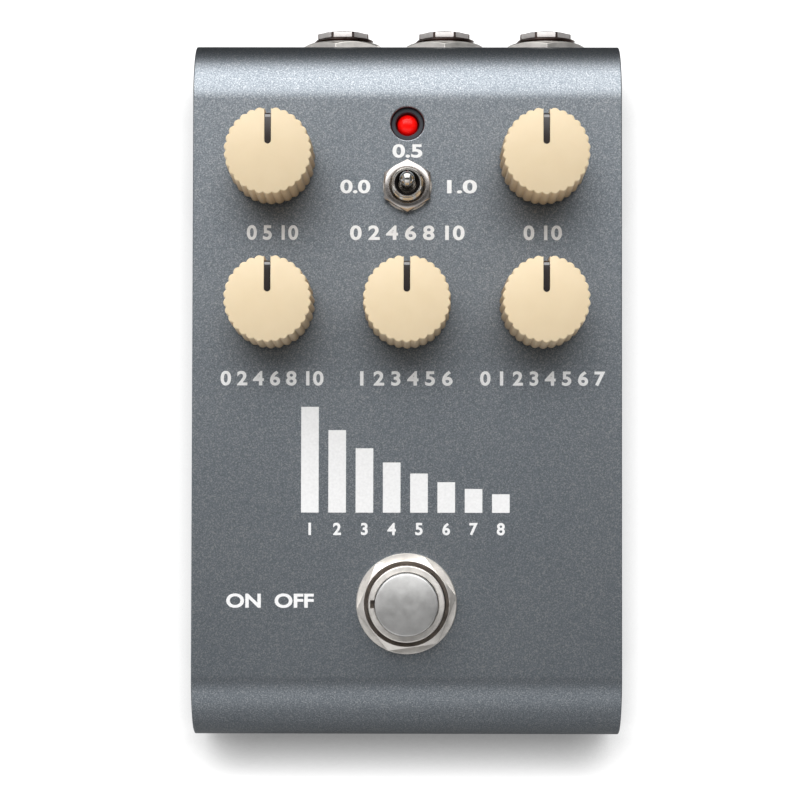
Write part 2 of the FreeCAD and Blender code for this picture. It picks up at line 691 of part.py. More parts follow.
def board_capacitors():
    """Four electrolytic cans beside the footswitch."""
    cans = []
    column = "(case_width / 2 - can_side)"
    for x in (f"-{column}", column):
        for y in (f"{SWITCH_Y} + can_pitch", SWITCH_Y):
            cans.append(rod(f"can_{len(cans) + 1}", "can_radius", "can_height", x, y, BOARD_TOP))
    return group("board_capacitors", cans)


# ---- knobs and their controls --------------------------------------------------------------------

def knob(control, x, y):
    """A fluted knob, hollow underneath, with the slot for its pointer towards +Y."""
    body = DOC.addObject("PartDesign::Body", "knob_" + control)
    place(body, x, y, f"{TOP} + knob_lift")
    bore_top = "(shaft_reach - knob_lift + bore_room)"
    profile = new_sketch(body, control + "_knob_profile", "XZ_Plane")
    add_outline(profile, [("skirt_bore", "0"), ("knob_base_radius", "0"),
                          ("knob_top_radius", "knob_height"), ("0", "knob_height"),
                          ("0", bore_top), ("shaft_radius + push_gap", bore_top),
                          ("shaft_radius + push_gap", "skirt_depth"),
                          ("skirt_bore", "skirt_depth")])
    turned = revolve(body, control + "_knob_turned", profile)
    height = size("knob_height")
    crown = edges_where(turned, lambda at, to: near(at.z, height))
    round_edges(body, control + "_knob_crown", turned, crown, "knob_edge")

    valley = new_sketch(body, control + "_flute_outline", "XY_Plane")
    add_outline(valley, [("0", "knob_base_radius - flute_depth"),
                         ("flute_width", "knob_base_radius + flute_depth"),
                         ("-flute_width", "knob_base_radius + flute_depth")])
    flute = pocket(body, control + "_flute", valley, "knob_height + 1", forward=True)
    flute.UseCustomVector = True
    bind(flute, **{"Direction.y": "(knob_base_radius - knob_top_radius) / knob_height",
                   "Direction.z": "-1", "Direction.x": "0"})
    DOC.recompute()
    around(flute, control + "_flutes", valley, "flute_count")

    trench = new_sketch(body, control + "_slot_outline", "XY_Plane", "knob_height")
    add_rectangle(trench, "-slot_width / 2", "slot_width / 2", "slot_start",
                  "knob_base_radius + 1")
    pocket(body, control + "_slot", trench, "slot_depth")
    side = new_sketch(body, control + "_side_outline", "XY_Plane", "knob_height")
    add_rectangle(side, "-slot_width / 2", "slot_width / 2", "knob_top_radius - slot_rim",
                  "knob_base_radius + 1")
    pocket(body, control + "_side_slot", side, "knob_height + 1")
    return body


def pointer(control, x, y):
    """The black bar let into the knob's slot, rounded at its outer end."""
    body = DOC.addObject("PartDesign::Body", "pointer_" + control)
    place(body, x, y, f"{TOP} + knob_lift + knob_height - slot_depth")
    outline = new_sketch(body, control + "_pointer_outline", "XY_Plane", "push_gap")
    add_rectangle(outline, "push_gap - slot_width / 2", "slot_width / 2 - push_gap",
                  "slot_start + push_gap", "knob_top_radius - slot_rim")
    bar = pad(body, control + "_pointer_bar", outline, "slot_depth - push_gap - insert_sink")
    top = size("slot_depth") - size("insert_sink")
    end = size("knob_top_radius") - size("slot_rim")
    outer = edges_where(bar, lambda at, to: near(at.z, top) and near(at.y, end))
    round_edges(body, control + "_pointer_end", bar, outer, "knob_edge")
    return body


def shaft(control, x, y):
    """The split shaft that turns with the knob, with its disc inside the control."""
    name = "shaft_" + control
    disc_z = "(control_depth - plate_gauge - rotor_gap - rotor_height)"
    top = "(control_depth + gauge + shaft_reach)"
    disc = rod(name + "_disc", "rotor_radius", "rotor_height", z=disc_z)
    stem = rod(name + "_stem", "shaft_radius", f"{top} - {disc_z}", z=disc_z)
    slit = block(name + "_slit", "slit_width", "3 * shaft_radius", "slit_depth + 1",
                 z=f"{top} - slit_depth")
    return place(cut(name, fuse(name + "_blank", disc, stem), slit), x, y, BOARD_TOP)


def control_body(control, x, y):
    """The lower housing of a control, soldered on the board."""
    name = "control_body_" + control
    rim = "(control_depth - plate_gauge)"
    well = "(rotor_height + 2 * rotor_gap)"
    housing = block(name + "_blank", "control_width", "control_length", rim)
    space = rod(name + "_space", "rotor_radius + rotor_gap", f"{well} + 1", z=f"{rim} - {well}")
    return place(cut(name, housing, space), x, y, BOARD_TOP)


def control_neck(control, x, y):
    """Face plate and threaded neck of a control, in one casting."""
    name = "control_neck_" + control
    plate = block(name + "_plate", "control_width", "control_length", "plate_gauge")
    tube = rod(name + "_tube", "bushing_radius", "plate_gauge + gauge + bushing_reach")
    hole = rod(name + "_hole", "shaft_radius + running_gap",
               "plate_gauge + gauge + bushing_reach + 2", z="-1")
    casting = cut(name, fuse(name + "_blank", plate, tube), hole)
    return place(casting, x, y, f"{UNDERSIDE} - plate_gauge")


def controls():
    """The five knobs with everything that carries them."""
    parts = []
    necks = []
    washers = []
    nuts = []
    for control, (x, row) in CONTROLS.items():
        y = f"({REAR_FACE} - {row})"
        parts += [knob(control, x, y), pointer(control, x, y), shaft(control, x, y),
                  control_body(control, x, y)]
        necks.append(control_neck(control, x, y))
        washers.append(ring("control_washer_" + control, "control_washer_radius",
                            "bushing_radius + thread_gap", "control_washer_gauge", x, y, TOP))
        nuts.append(nut("control_nut_" + control, "control_nut_flats", "control_nut_height",
                        "bushing_radius + thread_gap", x, y, f"{TOP} + control_washer_gauge"))
    return parts + [group("control_necks", necks), group("control_washers", washers),
                    group("control_nuts", nuts)]


# ---- lamp ----------------------------------------------------------------------------------------

def lamp_holder():
    """The black tube that carries the lamp from the board up into its hole."""
    height = f"{TOP} - holder_sink - {BOARD_TOP}"
    return ring("lamp_holder", "holder_radius", "holder_bore", height, "0", LAMP_Y, BOARD_TOP)


def lamp_lens():
    """The round-headed lamp, standing on the board."""
    straight = f"({TOP} - lamp_sink - lamp_radius - {BOARD_TOP})"
    barrel = rod("lamp_barrel", "lamp_radius", straight)
    head = ball("lamp_head", "lamp_radius", z=straight)
    return place(fuse("lamp_lens", barrel, head), "0", LAMP_Y, BOARD_TOP)


# ---- toggle --------------------------------------------------------------------------------------

def toggle_body():
    """The toggle's housing, with a well for the lever's tail."""
    housing = block("toggle_blank", "toggle_body_length", "toggle_body_width", "control_depth")
    well = rod("toggle_well_space", "toggle_well", "toggle_well_depth + 1",
               z="control_depth - toggle_well_depth")
    return place(cut("toggle_body", housing, well), "0", TOGGLE_Y, BOARD_TOP)


def toggle_bushing():
    """The threaded neck in which the lever's ball turns."""
    length = "(gauge + toggle_reach)"
    tube = rod("toggle_tube", "toggle_radius", length)
    bore = rod("toggle_tube_bore", "toggle_bore", f"{length} + 2", z="-1")
    flare = cone("toggle_tube_mouth", "toggle_bore", "toggle_bore + 2 * mouth_flare",
                 "2 * mouth_flare", z=f"{length} - mouth_flare")
    return place(cut("toggle_bushing", tube, bore, flare), "0", TOGGLE_Y, UNDERSIDE)


def toggle_lever():
    """The bat lever: a ball at the pivot, a tail below it and a thicker rounded end above."""
    tip_z = "(lever_reach - pivot_rise - lever_tip)"
    lever = fuse("toggle_lever",
                 ball("lever_ball", "toggle_bore - running_gap"),
                 rod("lever_tail", "tail_radius", "tail_length", z="-tail_length"),
                 cone("lever_bat", "lever_neck", "lever_tip", tip_z),
                 ball("lever_end", "lever_tip", z=tip_z))
    return place(lever, "0", TOGGLE_Y, f"{TOP} + pivot_rise")


def toggle_washer():
    """Plain washer on the top face."""
    return ring("toggle_washer", "toggle_washer_radius", "toggle_radius + thread_gap",
                "toggle_washer_gauge", "0", TOGGLE_Y, TOP)


def toggle_nut():
    """Hexagon nut with a corner towards the rear."""
    return nut("toggle_nut", "toggle_nut_flats", "toggle_nut_height", "toggle_radius + thread_gap",
               "0", TOGGLE_Y, f"{TOP} + toggle_washer_gauge",
               Rotation(Vector(0, 0, 1), TOGGLE_NUT_TURN))


# ---- footswitch ----------------------------------------------------------------------------------

def footswitch_body():
    """The switch housing below the sheet, with a round well for the stem and spring."""
    housing = block("footswitch_blank", "switch_side", "switch_side", "switch_depth")
    well = rod("footswitch_well", "well_radius", "well_depth + 1", z="switch_depth - well_depth")
    return place(cut("footswitch_body", housing, well), "0", SWITCH_Y,
                 f"{UNDERSIDE} - switch_depth")


def footswitch_bushing():
    """The threaded neck, wide at its mouth, with a small key slot on the left of the mouth."""
    length = "(gauge + collar_reach)"
    tube = rod("collar_tube", "collar_radius", length)
    bore = rod("collar_bore_space", "stem_radius + running_gap", f"{length} + 2", z="-1")
    mouth = rod("collar_mouth", "collar_bore", "collar_well + 1", z=f"{length} - collar_well")
    key = block("collar_key", "2 * key_width", "key_length", "collar_well + 1", "-collar_bore", "0",
                f"{length} - collar_well")
    return place(cut("footswitch_bushing", tube, bore, mouth, key), "0", SWITCH_Y, UNDERSIDE)


def footswitch_cap():
    """The cap with its stem, the shoulder that keeps it in and the nub that works the contact."""
    head_z = "(collar_reach - collar_well + cap_travel + stop_gap)"
    rim_z = "(cap_reach - cap_bevel)"
    stem_z = "(-gauge - shoulder_gap - flange_height)"
    nub_z = "(contact_height + cap_travel + stop_gap - gauge - well_depth)"
    cap = fuse("footswitch_cap",
               rod("cap_head", "cap_radius", f"{rim_z} - {head_z}", z=head_z),
               cone("cap_rim", "cap_radius", "cap_radius - cap_bevel", "cap_bevel", z=rim_z),
               rod("cap_stem", "stem_radius", f"{rim_z} - {stem_z}", z=stem_z),
               rod("cap_shoulder", "flange_radius", "flange_height", z=stem_z),
               rod("cap_nub", "nub_radius", f"{stem_z} - {nub_z} + 0.5", z=nub_z))
    return place(cap, "0", SWITCH_Y, TOP)


def footswitch_spring():
    """The coil that lifts the cap, between the well's floor and the stem's shoulder."""
    room = "(well_depth - shoulder_gap - flange_height - 2 * wire_radius - 2 * spring_gap)"
    coil = DOC.addObject("Part::Helix", "spring_coil")
    bind(coil, Radius="spring_radius", Height=room, Pitch=f"{room} / spring_turns")
    wire = place(bind(DOC.addObject("Part::Circle", "spring_wire"), Radius="wire_radius"),
                 x="spring_radius", turn=TO_REAR)
    DOC.recompute()
    spring = DOC.addObject("Part::Sweep", "footswitch_spring")
    spring.Sections = [wire]
    spring.Spine = (coil, [f"Edge{number + 1}" for number in range(len(coil.Shape.Edges))])
    spring.Solid = True
    spring.Frenet = True
    return place(spring, "0", SWITCH_Y, f"{UNDERSIDE} - well_depth + wire_radius + spring_gap")


def footswitch_contact():
    """The small contact that the stem's nub presses."""
    return rod("footswitch_contact", "contact_radius", "contact_height", "0", SWITCH_Y,
               f"{UNDERSIDE} - well_depth")


def footswitch_washer():
    """Plain washer on the top face."""
    return ring("footswitch_washer", "switch_washer_radius", "collar_radius + thread_gap",
                "switch_washer_gauge", "0", SWITCH_Y, TOP)


def footswitch_nut():
    """Hexagon nut that clamps the footswitch to the sheet."""
    return nut("footswitch_nut", "switch_nut_flats", "switch_nut_height",
               "collar_radius + thread_gap", "0", SWITCH_Y, f"{TOP} + switch_washer_gauge",
               Rotation(Vector(0, 0, 1), SWITCH_NUT_TURN))


# ---- jacks ---------------------------------------------------------------------------------------

def jack_x(jack):
    """The place of a jack's axis along the row, counted from the right one."""
    steps = len(JACKS) - 1 - JACKS.index(jack)
    return f"({INNER_SIDE} - jack_side - {JACK_WIDTH} / 2 - {steps} * ({JACK_WIDTH} + jack_gap))"


def jack_body(jack, x):
    """A jack's moulded housing under the board: plug space, sleeve seat and contact groove."""
    name = "jack_body_" + jack
    front = f"({REAR_FACE} - gauge)"
    middle = f"({front} - jack_length / 2)"
    depth = "(jack_length - jack_end_wall)"
    groove = "(leaf_length + leaf_gap)"
    housing = block(name + "_blank", JACK_WIDTH, "jack_length", f"{BOARD_UNDER} - {JACK_FLOOR}",
                    x, middle, JACK_FLOOR)
    plug = rod(name + "_plug_space", "cavity_radius", f"{depth} + 1", x, f"{front} - {depth}",
               JACK_Z, TO_REAR)
    seat = rod(name + "_seat", "thread_radius + thread_gap", "sleeve_seat + 1", x,
               f"{front} - sleeve_seat", JACK_Z, TO_REAR)
    channel = block(name + "_groove", "leaf_width + 2 * leaf_gap", groove, "case_height", x,
                    f"{front} - {depth} + {groove} / 2", f"{JACK_Z} + cavity_radius / 2")
    return cut(name, housing, plug, seat, channel)


def jack_sleeve(jack, x):
    """The threaded sleeve that the plug enters, with an eight-sided notched nose."""
    name = "jack_sleeve_" + jack
    seat = "(gauge + sleeve_seat)"
    thread = rod(name + "_thread", "thread_radius", f"{seat} + thread_reach", z=f"-{seat}")
    nose = prism(name + "_nose", 8, "nose_flats", f"{seat} + nose_reach", z=f"-{seat}",
                 turn=Rotation(Vector(0, 0, 1), NOSE_TURN))
    bore = rod(name + "_bore", "plug_bore", f"{seat} + nose_reach + 2", z=f"-{seat} - 1")
    corner = "(nose_flats / 2 / cos(22.5 deg))"
    notches = []
    for turn in range(8):
        spin = Rotation(Vector(0, 0, 1), NOSE_TURN + 45 * turn)
        notch = bind(DOC.addObject("Part::Box", f"{name}_notch_{turn}"),
                     Length="1", Width="notch_width", Height="nose_reach")
        start = spin.multVec(Vector(1, 0, 0))
        side = spin.multVec(Vector(0, 1, 0))
        reach = f"({corner} - notch_depth)"
        place(notch, f"{start.x} * {reach} - {side.x} * notch_width / 2",
              f"{start.y} * {reach} - {side.y} * notch_width / 2", "thread_reach", spin)
        notches.append(notch)
    blank = fuse(name + "_blank", thread, nose)
    sleeve = cut(name, blank, bore, group(name + "_notches", notches))
    return place(sleeve, x, REAR_FACE, JACK_Z, TO_REAR)


def jack_leaf(jack, x):
    """The spring contact above the plug, with a leg up to the board."""
    name = "jack_leaf_" + jack
    back = f"({REAR_FACE} - gauge - jack_length + jack_end_wall + leaf_gap / 2)"
    low = f"({JACK_Z} + leaf_rise)"
    leaf = block(name + "_strip", "leaf_width", "leaf_length", "leaf_gauge", x,
                 f"{back} + leaf_length / 2", low)
    leg = block(name + "_leg", "leaf_width", "leaf_gauge", f"{BOARD_UNDER} - {low}", x,
                f"{back} + leaf_gauge / 2", low)
    return fuse(name, leaf, leg)


def jacks():
    """The three quarter-inch jacks, side by side in the rear wall."""
    parts = []
    leaves = []
    nuts = []
    for jack, turn in zip(JACKS, JACK_NUT_TURNS):
        x = jack_x(jack)
        parts += [jack_body(jack, x), jack_sleeve(jack, x)]
        leaves.append(jack_leaf(jack, x))
        spin = TO_REAR.multiply(Rotation(Vector(0, 0, 1), turn))
        nuts.append(nut("jack_nut_" + jack, "jack_nut_flats", "jack_nut_height",
                        "thread_radius + thread_gap", x, REAR_FACE, JACK_Z, spin))
    return parts + [group("jack_contacts", leaves), group("jack_nuts", nuts)]


# ---- power and data sockets ----------------------------------------------------------------------

def power_jack_body():
    """The power jack: a box behind the rear wall with a stalk that reaches the board."""
    box = block("power_box", "power_width", "power_length", POWER_HEIGHT, POWER_X,
                f"{POWER_FRONT} - power_length / 2", JACK_FLOOR)
    stalk = block("power_stalk_block", "power_width", "power_stalk", f"{BOARD_UNDER} - {JACK_FLOOR}",
                  POWER_X, f"{POWER_FRONT} - power_length + power_stalk / 2", JACK_FLOOR)
    room = rod("power_plug_space", "power_bore", "power_depth + 1", POWER_X,
               f"{POWER_FRONT} - power_depth", POWER_Z, TO_REAR)
    root = rod("power_pin_hole", "power_root_radius + push_gap", "power_depth", POWER_X,
               f"{POWER_FRONT} - power_depth - power_pin_root", POWER_Z, TO_REAR)
    return cut("power_jack_body", fuse("power_blank", box, stalk), room, root)


def power_jack_pin():
    """The centre pin that the power plug slides over, with its thicker root in the body."""
    pin = rod("power_pin_free", "power_pin", "power_depth - power_pin_back", z="power_pin_root")
    root = rod("power_pin_base", "power_root_radius", "power_pin_root")
    return place(fuse("power_jack_pin", pin, root), POWER_X,
                 f"{POWER_FRONT} - power_depth - power_pin_root", POWER_Z, TO_REAR)


def stadium(name, width, height, length, z="0"):
    """A bar with a round-ended section, lying along Z."""
    middle = block(name + "_middle", f"{width} - {height}", height, length, z=z)
    left = rod(name + "_left", f"{height} / 2", length, f"({height} - {width}) / 2", z=z)
    right = rod(name + "_right", f"{height} / 2", length, f"({width} - {height}) / 2", z=z)
    return fuse(name, middle, left, right)


def usb_shell():
    """The steel shell of the data socket, hung under the board."""
    outer = stadium("usb_shell_outer", "usb_width", "usb_height", "usb_length")
    inner = stadium("usb_shell_inner", "(usb_width - 2 * usb_wall)", "(usb_height - 2 * usb_wall)",
                    "(usb_length + 2)", z="-1")
    return place(cut("usb_shell", outer, inner), POWER_X,
                 f"{REAR_FACE} - usb_back - usb_length", f"{BOARD_UNDER} - usb_height / 2", TO_REAR)


def usb_tongue():
    """The contact tongue and the block that holds it in the shell."""
    root = stadium("usb_root_block", "(usb_width - 2 * usb_wall)", "(usb_height - 2 * usb_wall)",
                   "usb_root")
    tongue = block("usb_tongue_plate", "tongue_width", "tongue_gauge", "tongue_length")
    return place(fuse("usb_tongue", root, tongue), POWER_X,
                 f"{REAR_FACE} - usb_back - usb_length", f"{BOARD_UNDER} - usb_height / 2", TO_REAR)


# ---- the whole unit ------------------------------------------------------------------------------

def build():
    """Make every sub-part and return them in the order of the bench."""
    parts = [top_cover(), base_tray(), base_screws(), clinch_nuts(), rubber_feet()]
    parts += [main_board(), board_chips(), board_capacitors()]
    parts += controls()
    parts += [lamp_holder(), lamp_lens()]
    parts += [toggle_body(), toggle_bushing(), toggle_lever(), toggle_washer(), toggle_nut()]
    parts += [footswitch_body(), footswitch_bushing(), footswitch_cap(), footswitch_spring(),
              footswitch_contact(), footswitch_washer(), footswitch_nut()]
    parts += jacks()
    parts += [power_jack_body(), power_jack_pin(), usb_shell(), usb_tongue()]
    return parts


def check(parts):
    """Stop if any object failed to build or a sub-part has no sound solid."""
    for thing in DOC.Objects:
        if "Invalid" in thing.State or "Error" in thing.State:
            raise RuntimeError(f"{thing.Label} did not build: {thing.State}")
    for part in parts:
        if part.Shape.isNull() or not part.Shape.isValid() or not part.Shape.Solids:
            raise RuntimeError(f"{part.Label} is not a sound solid")


def export(parts):
    """Write each sub-part to its own file."""
    os.makedirs("parts", exist_ok=True)
    for part in parts:
        part.Shape.exportStep(f"parts/{part.Label}.step")


PARTS = build()
DOC.recompute()
check(PARTS)
export(PARTS)
print(len(PARTS), "sub-parts,", sum(len(part.Shape.Solids) for part in PARTS), "solids")
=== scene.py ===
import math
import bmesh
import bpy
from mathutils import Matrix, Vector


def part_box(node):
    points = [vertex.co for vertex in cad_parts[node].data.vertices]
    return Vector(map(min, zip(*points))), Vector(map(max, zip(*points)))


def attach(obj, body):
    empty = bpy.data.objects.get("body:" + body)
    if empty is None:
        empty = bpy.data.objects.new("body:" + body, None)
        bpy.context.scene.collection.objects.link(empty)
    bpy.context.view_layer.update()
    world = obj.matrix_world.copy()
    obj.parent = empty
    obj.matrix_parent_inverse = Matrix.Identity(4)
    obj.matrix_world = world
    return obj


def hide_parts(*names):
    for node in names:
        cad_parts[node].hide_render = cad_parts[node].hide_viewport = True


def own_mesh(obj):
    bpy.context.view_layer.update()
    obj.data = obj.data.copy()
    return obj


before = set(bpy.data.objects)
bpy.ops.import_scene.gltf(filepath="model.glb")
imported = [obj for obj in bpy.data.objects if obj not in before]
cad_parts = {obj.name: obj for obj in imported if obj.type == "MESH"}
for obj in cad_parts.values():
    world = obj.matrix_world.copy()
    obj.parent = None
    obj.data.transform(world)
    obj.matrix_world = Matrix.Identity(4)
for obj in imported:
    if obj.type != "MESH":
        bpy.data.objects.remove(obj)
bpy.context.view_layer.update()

# %% [markdown]
# # A tape echo unit for the floor
# The object is a small metal box that a guitarist sets on the floor. Its case is folded from two
# sheets of aluminium. Five fluted knobs, a small toggle, a red lamp and a footswitch stand on its
# top, and three jacks for quarter-inch plugs look out of its rear wall. The CAD frame is loaded
# already, in metres, with the player's right along +X, the jacks towards +Y and +Z upwards. Each
# piece below is built where the frame says it is, so nothing has to be fitted afterwards.

MM = 0.001               # the lengths below are written in millimetres and turned into metres


def place_of(node):
    """The middle of a CAD node in X and Y, and its lowest and highest Z."""
    low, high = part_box(node)
    return (low.x + high.x) / 2, (low.y + high.y) / 2, low.z, high.z


top_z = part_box("footswitch_washer")[0].z         # the washer lies on the case's top face

# %% [markdown]
# ## Camera
# A flat unit shows best from straight above through a long lens, which keeps the sides of the case
# parallel. The camera stands 47 cm over the floor, a little towards the player, so the fronts of
# the knobs show. It hardly leans, because a small shift of the lens moves the view instead. It is
# aimed by its angles and not by a tracking constraint, because a camera that looks straight down
# has no natural "up" for a constraint to hold on to.

# %% Camera
CAMERA_PLACE = (1.397, -24.49, 469.703)          # millimetres
CAMERA_TURN = (1.74413, 0.31487, 0.11227)        # degrees off straight down
lens = bpy.data.cameras.new("copy_stand_camera")
lens.lens, lens.sensor_width = 129.3235, 36      # millimetres
lens.shift_y = 0.06
lens.clip_start, lens.clip_end = 0.05, 20
camera = bpy.data.objects.new("copy_stand_camera", lens)
camera.location = [value * MM for value in CAMERA_PLACE]
camera.rotation_euler = [math.radians(angle) for angle in CAMERA_TURN]
bpy.context.scene.collection.objects.link(camera)
bpy.context.scene.camera = camera
print("camera at", tuple(round(value, 4) for value in camera.location))

# %% [markdown]
# ## Helpers for meshes
# Nearly every piece starts as a bmesh, the editable form of a mesh. One helper turns a bmesh into
# an object. A second one cuts a shape out of it with a Boolean modifier and applies it at once,
# which is how holes and slots are made. A third gives the piece its finish and ties it to the
# frame. Faces meet smoothly where their angle is small and crisply where it is large, so a curve
# of many flat faces looks round while its rim stays sharp. A round solid is half its outline spun
# around the Z axis. Where the outline closes along that axis it leaves one bare edge inside the
# solid, which is deleted, because a Boolean needs a clean closed surface.

# %% Helpers for meshes


def piece_from(name, bm):
    """An object that holds a bmesh, with doubles merged and all faces pointing outwards."""
    bmesh.ops.remove_doubles(bm, verts=bm.verts, dist=1e-7)
    bmesh.ops.recalc_face_normals(bm, faces=bm.faces)
    mesh = bpy.data.meshes.new(name)
    bm.to_mesh(mesh)
    bm.free()
    piece = bpy.data.objects.new(name, mesh)
    bpy.context.scene.collection.objects.link(piece)
    return piece


def carve(piece, bm, operation="DIFFERENCE"):
    """Cut a shape out of a piece, or keep only what they share, and apply it at once."""
    cutter = piece_from("cutter", bm)
    tool = piece.modifiers.new("carve", "BOOLEAN")
    tool.operation, tool.solver, tool.object = operation, "EXACT", cutter
    bpy.context.view_layer.update()
    solid = piece.evaluated_get(bpy.context.evaluated_depsgraph_get())
    mesh = bpy.data.meshes.new_from_object(solid)
    piece.modifiers.clear()
    old, piece.data = piece.data, mesh
    mesh.name = piece.name
    bpy.data.meshes.remove(old)
    bpy.data.objects.remove(cutter)


def dress(piece, finish, body, replaces=(), crisp=38, rim=0.0):
    """Give a piece its finish, smooth faces, softened rims and its place in the frame."""
    piece.data.materials.clear()
    piece.data.materials.append(finish)
    piece.data.shade_smooth()
    piece.data.set_sharp_from_angle(angle=math.radians(crisp))
    if rim:
        soft = piece.modifiers.new("softened_rims", "BEVEL")
        soft.width, soft.segments, soft.limit_method = rim * MM, 2, "ANGLE"
        soft.angle_limit, soft.harden_normals = math.radians(crisp), True
    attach(piece, body)
    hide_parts(*replaces)
    print(piece.name, "faces:", len(piece.data.polygons))
    return piece


def points_of(made):
    """The points among the things that an operator made."""
    return [item for item in made if isinstance(item, bmesh.types.BMVert)]


def soften(bm, edges, width, segments):
    """Bevel edges into a rounding, given in metres."""
    bmesh.ops.bevel(bm, geom=edges, offset=width, segments=segments, profile=0.5,
                    affect="EDGES", material=-1)


def block(bm, low, high):
    """Add a box between two corners, given in metres."""
    made = bmesh.ops.create_cube(bm, size=1)["verts"]
    bmesh.ops.scale(bm, vec=[b - a for a, b in zip(low, high)], verts=made)
    bmesh.ops.translate(bm, vec=[(a + b) / 2 for a, b in zip(low, high)], verts=made)
    return made


def patch(bm, low, high, z):
    """Add a flat rectangle between two corners at one height, given in metres."""
    made = bmesh.ops.create_grid(bm, x_segments=1, y_segments=1, size=0.5)["verts"]
    bmesh.ops.scale(bm, vec=(high[0] - low[0], high[1] - low[1], 1), verts=made)
    bmesh.ops.translate(bm, vec=((low[0] + high[0]) / 2, (low[1] + high[1]) / 2, z), verts=made)


def pillar(bm, radius, low, high, x=0.0, y=0.0, sides=64, turn=0.0):
    """Add an upright cylinder or prism, given in metres and a turn in degrees."""
    made = bmesh.ops.create_cone(bm, cap_ends=True, segments=sides, radius1=radius,
                                 radius2=radius, depth=high - low)["verts"]
    bmesh.ops.rotate(bm, verts=made, matrix=Matrix.Rotation(math.radians(turn), 3, "Z"))
    bmesh.ops.translate(bm, vec=(x, y, (low + high) / 2), verts=made)
    return made


def turned(outline, steps=96):
    """Spin a closed outline of (radius, height) pairs in millimetres around the Z axis."""
    bm = bmesh.new()
    points = [bm.verts.new((radius * MM, 0, height * MM)) for radius, height in outline]
    sides = [bm.edges.new((a, b)) for a, b in zip(points, points[1:] + points[:1])]
    bmesh.ops.spin(bm, geom=points + sides, cent=(0, 0, 0), axis=(0, 0, 1), angle=math.tau,
                   steps=steps, use_merge=True)
    bmesh.ops.remove_doubles(bm, verts=bm.verts, dist=1e-7)
    bare = [edge for edge in bm.edges if not edge.link_faces]
    bmesh.ops.delete(bm, geom=bare, context="EDGES")
    bmesh.ops.recalc_face_normals(bm, faces=bm.faces)
    return bm


def move(bm, x, y, z, matrix=Matrix.Identity(3)):
    """Turn a whole bmesh, then carry it to its place."""
    bmesh.ops.rotate(bm, verts=bm.verts, matrix=matrix)
    bmesh.ops.translate(bm, vec=(x, y, z), verts=bm.verts)
    return bm


print("helpers ready")

# %% [markdown]
# ## Helpers for materials
# A finish is a node tree around the Principled shader. Patterns read Object coordinates, so they
# stay on the piece when it moves, and they are real sizes: a noise with a scale of 5000 has grains
# a fifth of a millimetre wide, because the scene's unit is the metre. Plain numbers go straight on
# the shader's own sockets, where an exported model keeps them.

# %% Helpers for materials


def new_finish(name, **sockets):
    """A material and its shader, with plain values set on the shader's sockets."""
    finish = bpy.data.materials.new(name)
    finish.use_nodes = True
    shader = finish.node_tree.nodes["Principled BSDF"]
    for socket, value in sockets.items():
        shader.inputs[socket.replace("_", " ")].default_value = value
    return finish, shader


def add(finish, kind, settings=None, **inputs):
    """Add a node to a finish. An input is a value, or the output of another node."""
    node = finish.node_tree.nodes.new("ShaderNode" + kind)
    for key, value in (settings or {}).items():
        setattr(node, key, value)
    for name, value in inputs.items():
        socket = node.inputs[int(name[1:]) if name[1:].isdigit() else name.replace("_", " ")]
        if isinstance(value, bpy.types.NodeSocket):
            finish.node_tree.links.new(value, socket)
        else:
            socket.default_value = value
    return node


def join(finish, output, socket):
    """Link an output to a socket."""
    finish.node_tree.links.new(output, socket)


def noise(finish, scale, detail=2.0, roughness=0.5, stretch=(1, 1, 1)):
    """Noise on Object coordinates: a value from 0 to 1, about 0.5 on average."""
    where = add(finish, "TexCoord").outputs["Object"]
    spread = add(finish, "Mapping", Vector=where, Scale=stretch).outputs["Vector"]
    return add(finish, "TexNoise", Vector=spread, Scale=scale, Detail=detail,
               Roughness=roughness).outputs["Fac"]


def ramp(finish, value, *stops):
    """Turn a value into a colour through stops of (place, colour)."""
    node = add(finish, "ValToRGB", Fac=value)
    bar = node.color_ramp
    while len(bar.elements) < len(stops):
        bar.elements.new(0.5)
    for element, (place, colour) in zip(bar.elements, stops):
        element.position = place
        element.color = (*colour, 1)
    return node.outputs["Color"]


def maths(finish, operation, one, other):
    """One sum with two values."""
    return add(finish, "Math", {"operation": operation}, _0=one, _1=other).outputs[0]


def tinted(finish, one, other):
    """Multiply two colours."""
    return add(finish, "Mix", {"data_type": "RGBA", "blend_type": "MULTIPLY"}, _0=1.0, _6=one,
               _7=other).outputs[2]


def paint(finish, shader, pattern, low, high):
    """Colour a shader by a noise: one colour where it is low, another where it is high."""
    join(finish, ramp(finish, pattern, (0.3, low), (0.7, high)), shader.inputs["Base Color"])


def polish(finish, shader, pattern, low, high, start=0.3, stop=0.7):
    """Map the usual reach of a noise to a range of roughness."""
    rough = add(finish, "MapRange", Value=pattern, From_Min=start, From_Max=stop, To_Min=low,
                To_Max=high)
    join(finish, rough.outputs["Result"], shader.inputs["Roughness"])


def rough_up(finish, shader, height, depth, strength=1.0):
    """Bump a surface by a height from 0 to 1, with its depth in millimetres."""
    bump = add(finish, "Bump", Height=height, Distance=depth * MM, Strength=strength)
    join(finish, bump.outputs["Normal"], shader.inputs["Normal"])


print("material helpers ready")

# %% [markdown]
# ## Case: the metallic slate finish
# The aluminium is coated with a fine metallic slate grey. Seen close, it sparkles: flakes a fifth
# of a millimetre wide catch the light one by one. Two noises make the grain. The finer one changes
# the colour and the roughness of each flake, the coarser one drifts over centimetres. The finish
# is almost fully metallic, because a coat packed with flakes mirrors what is around it, softly and
# in its own colour.

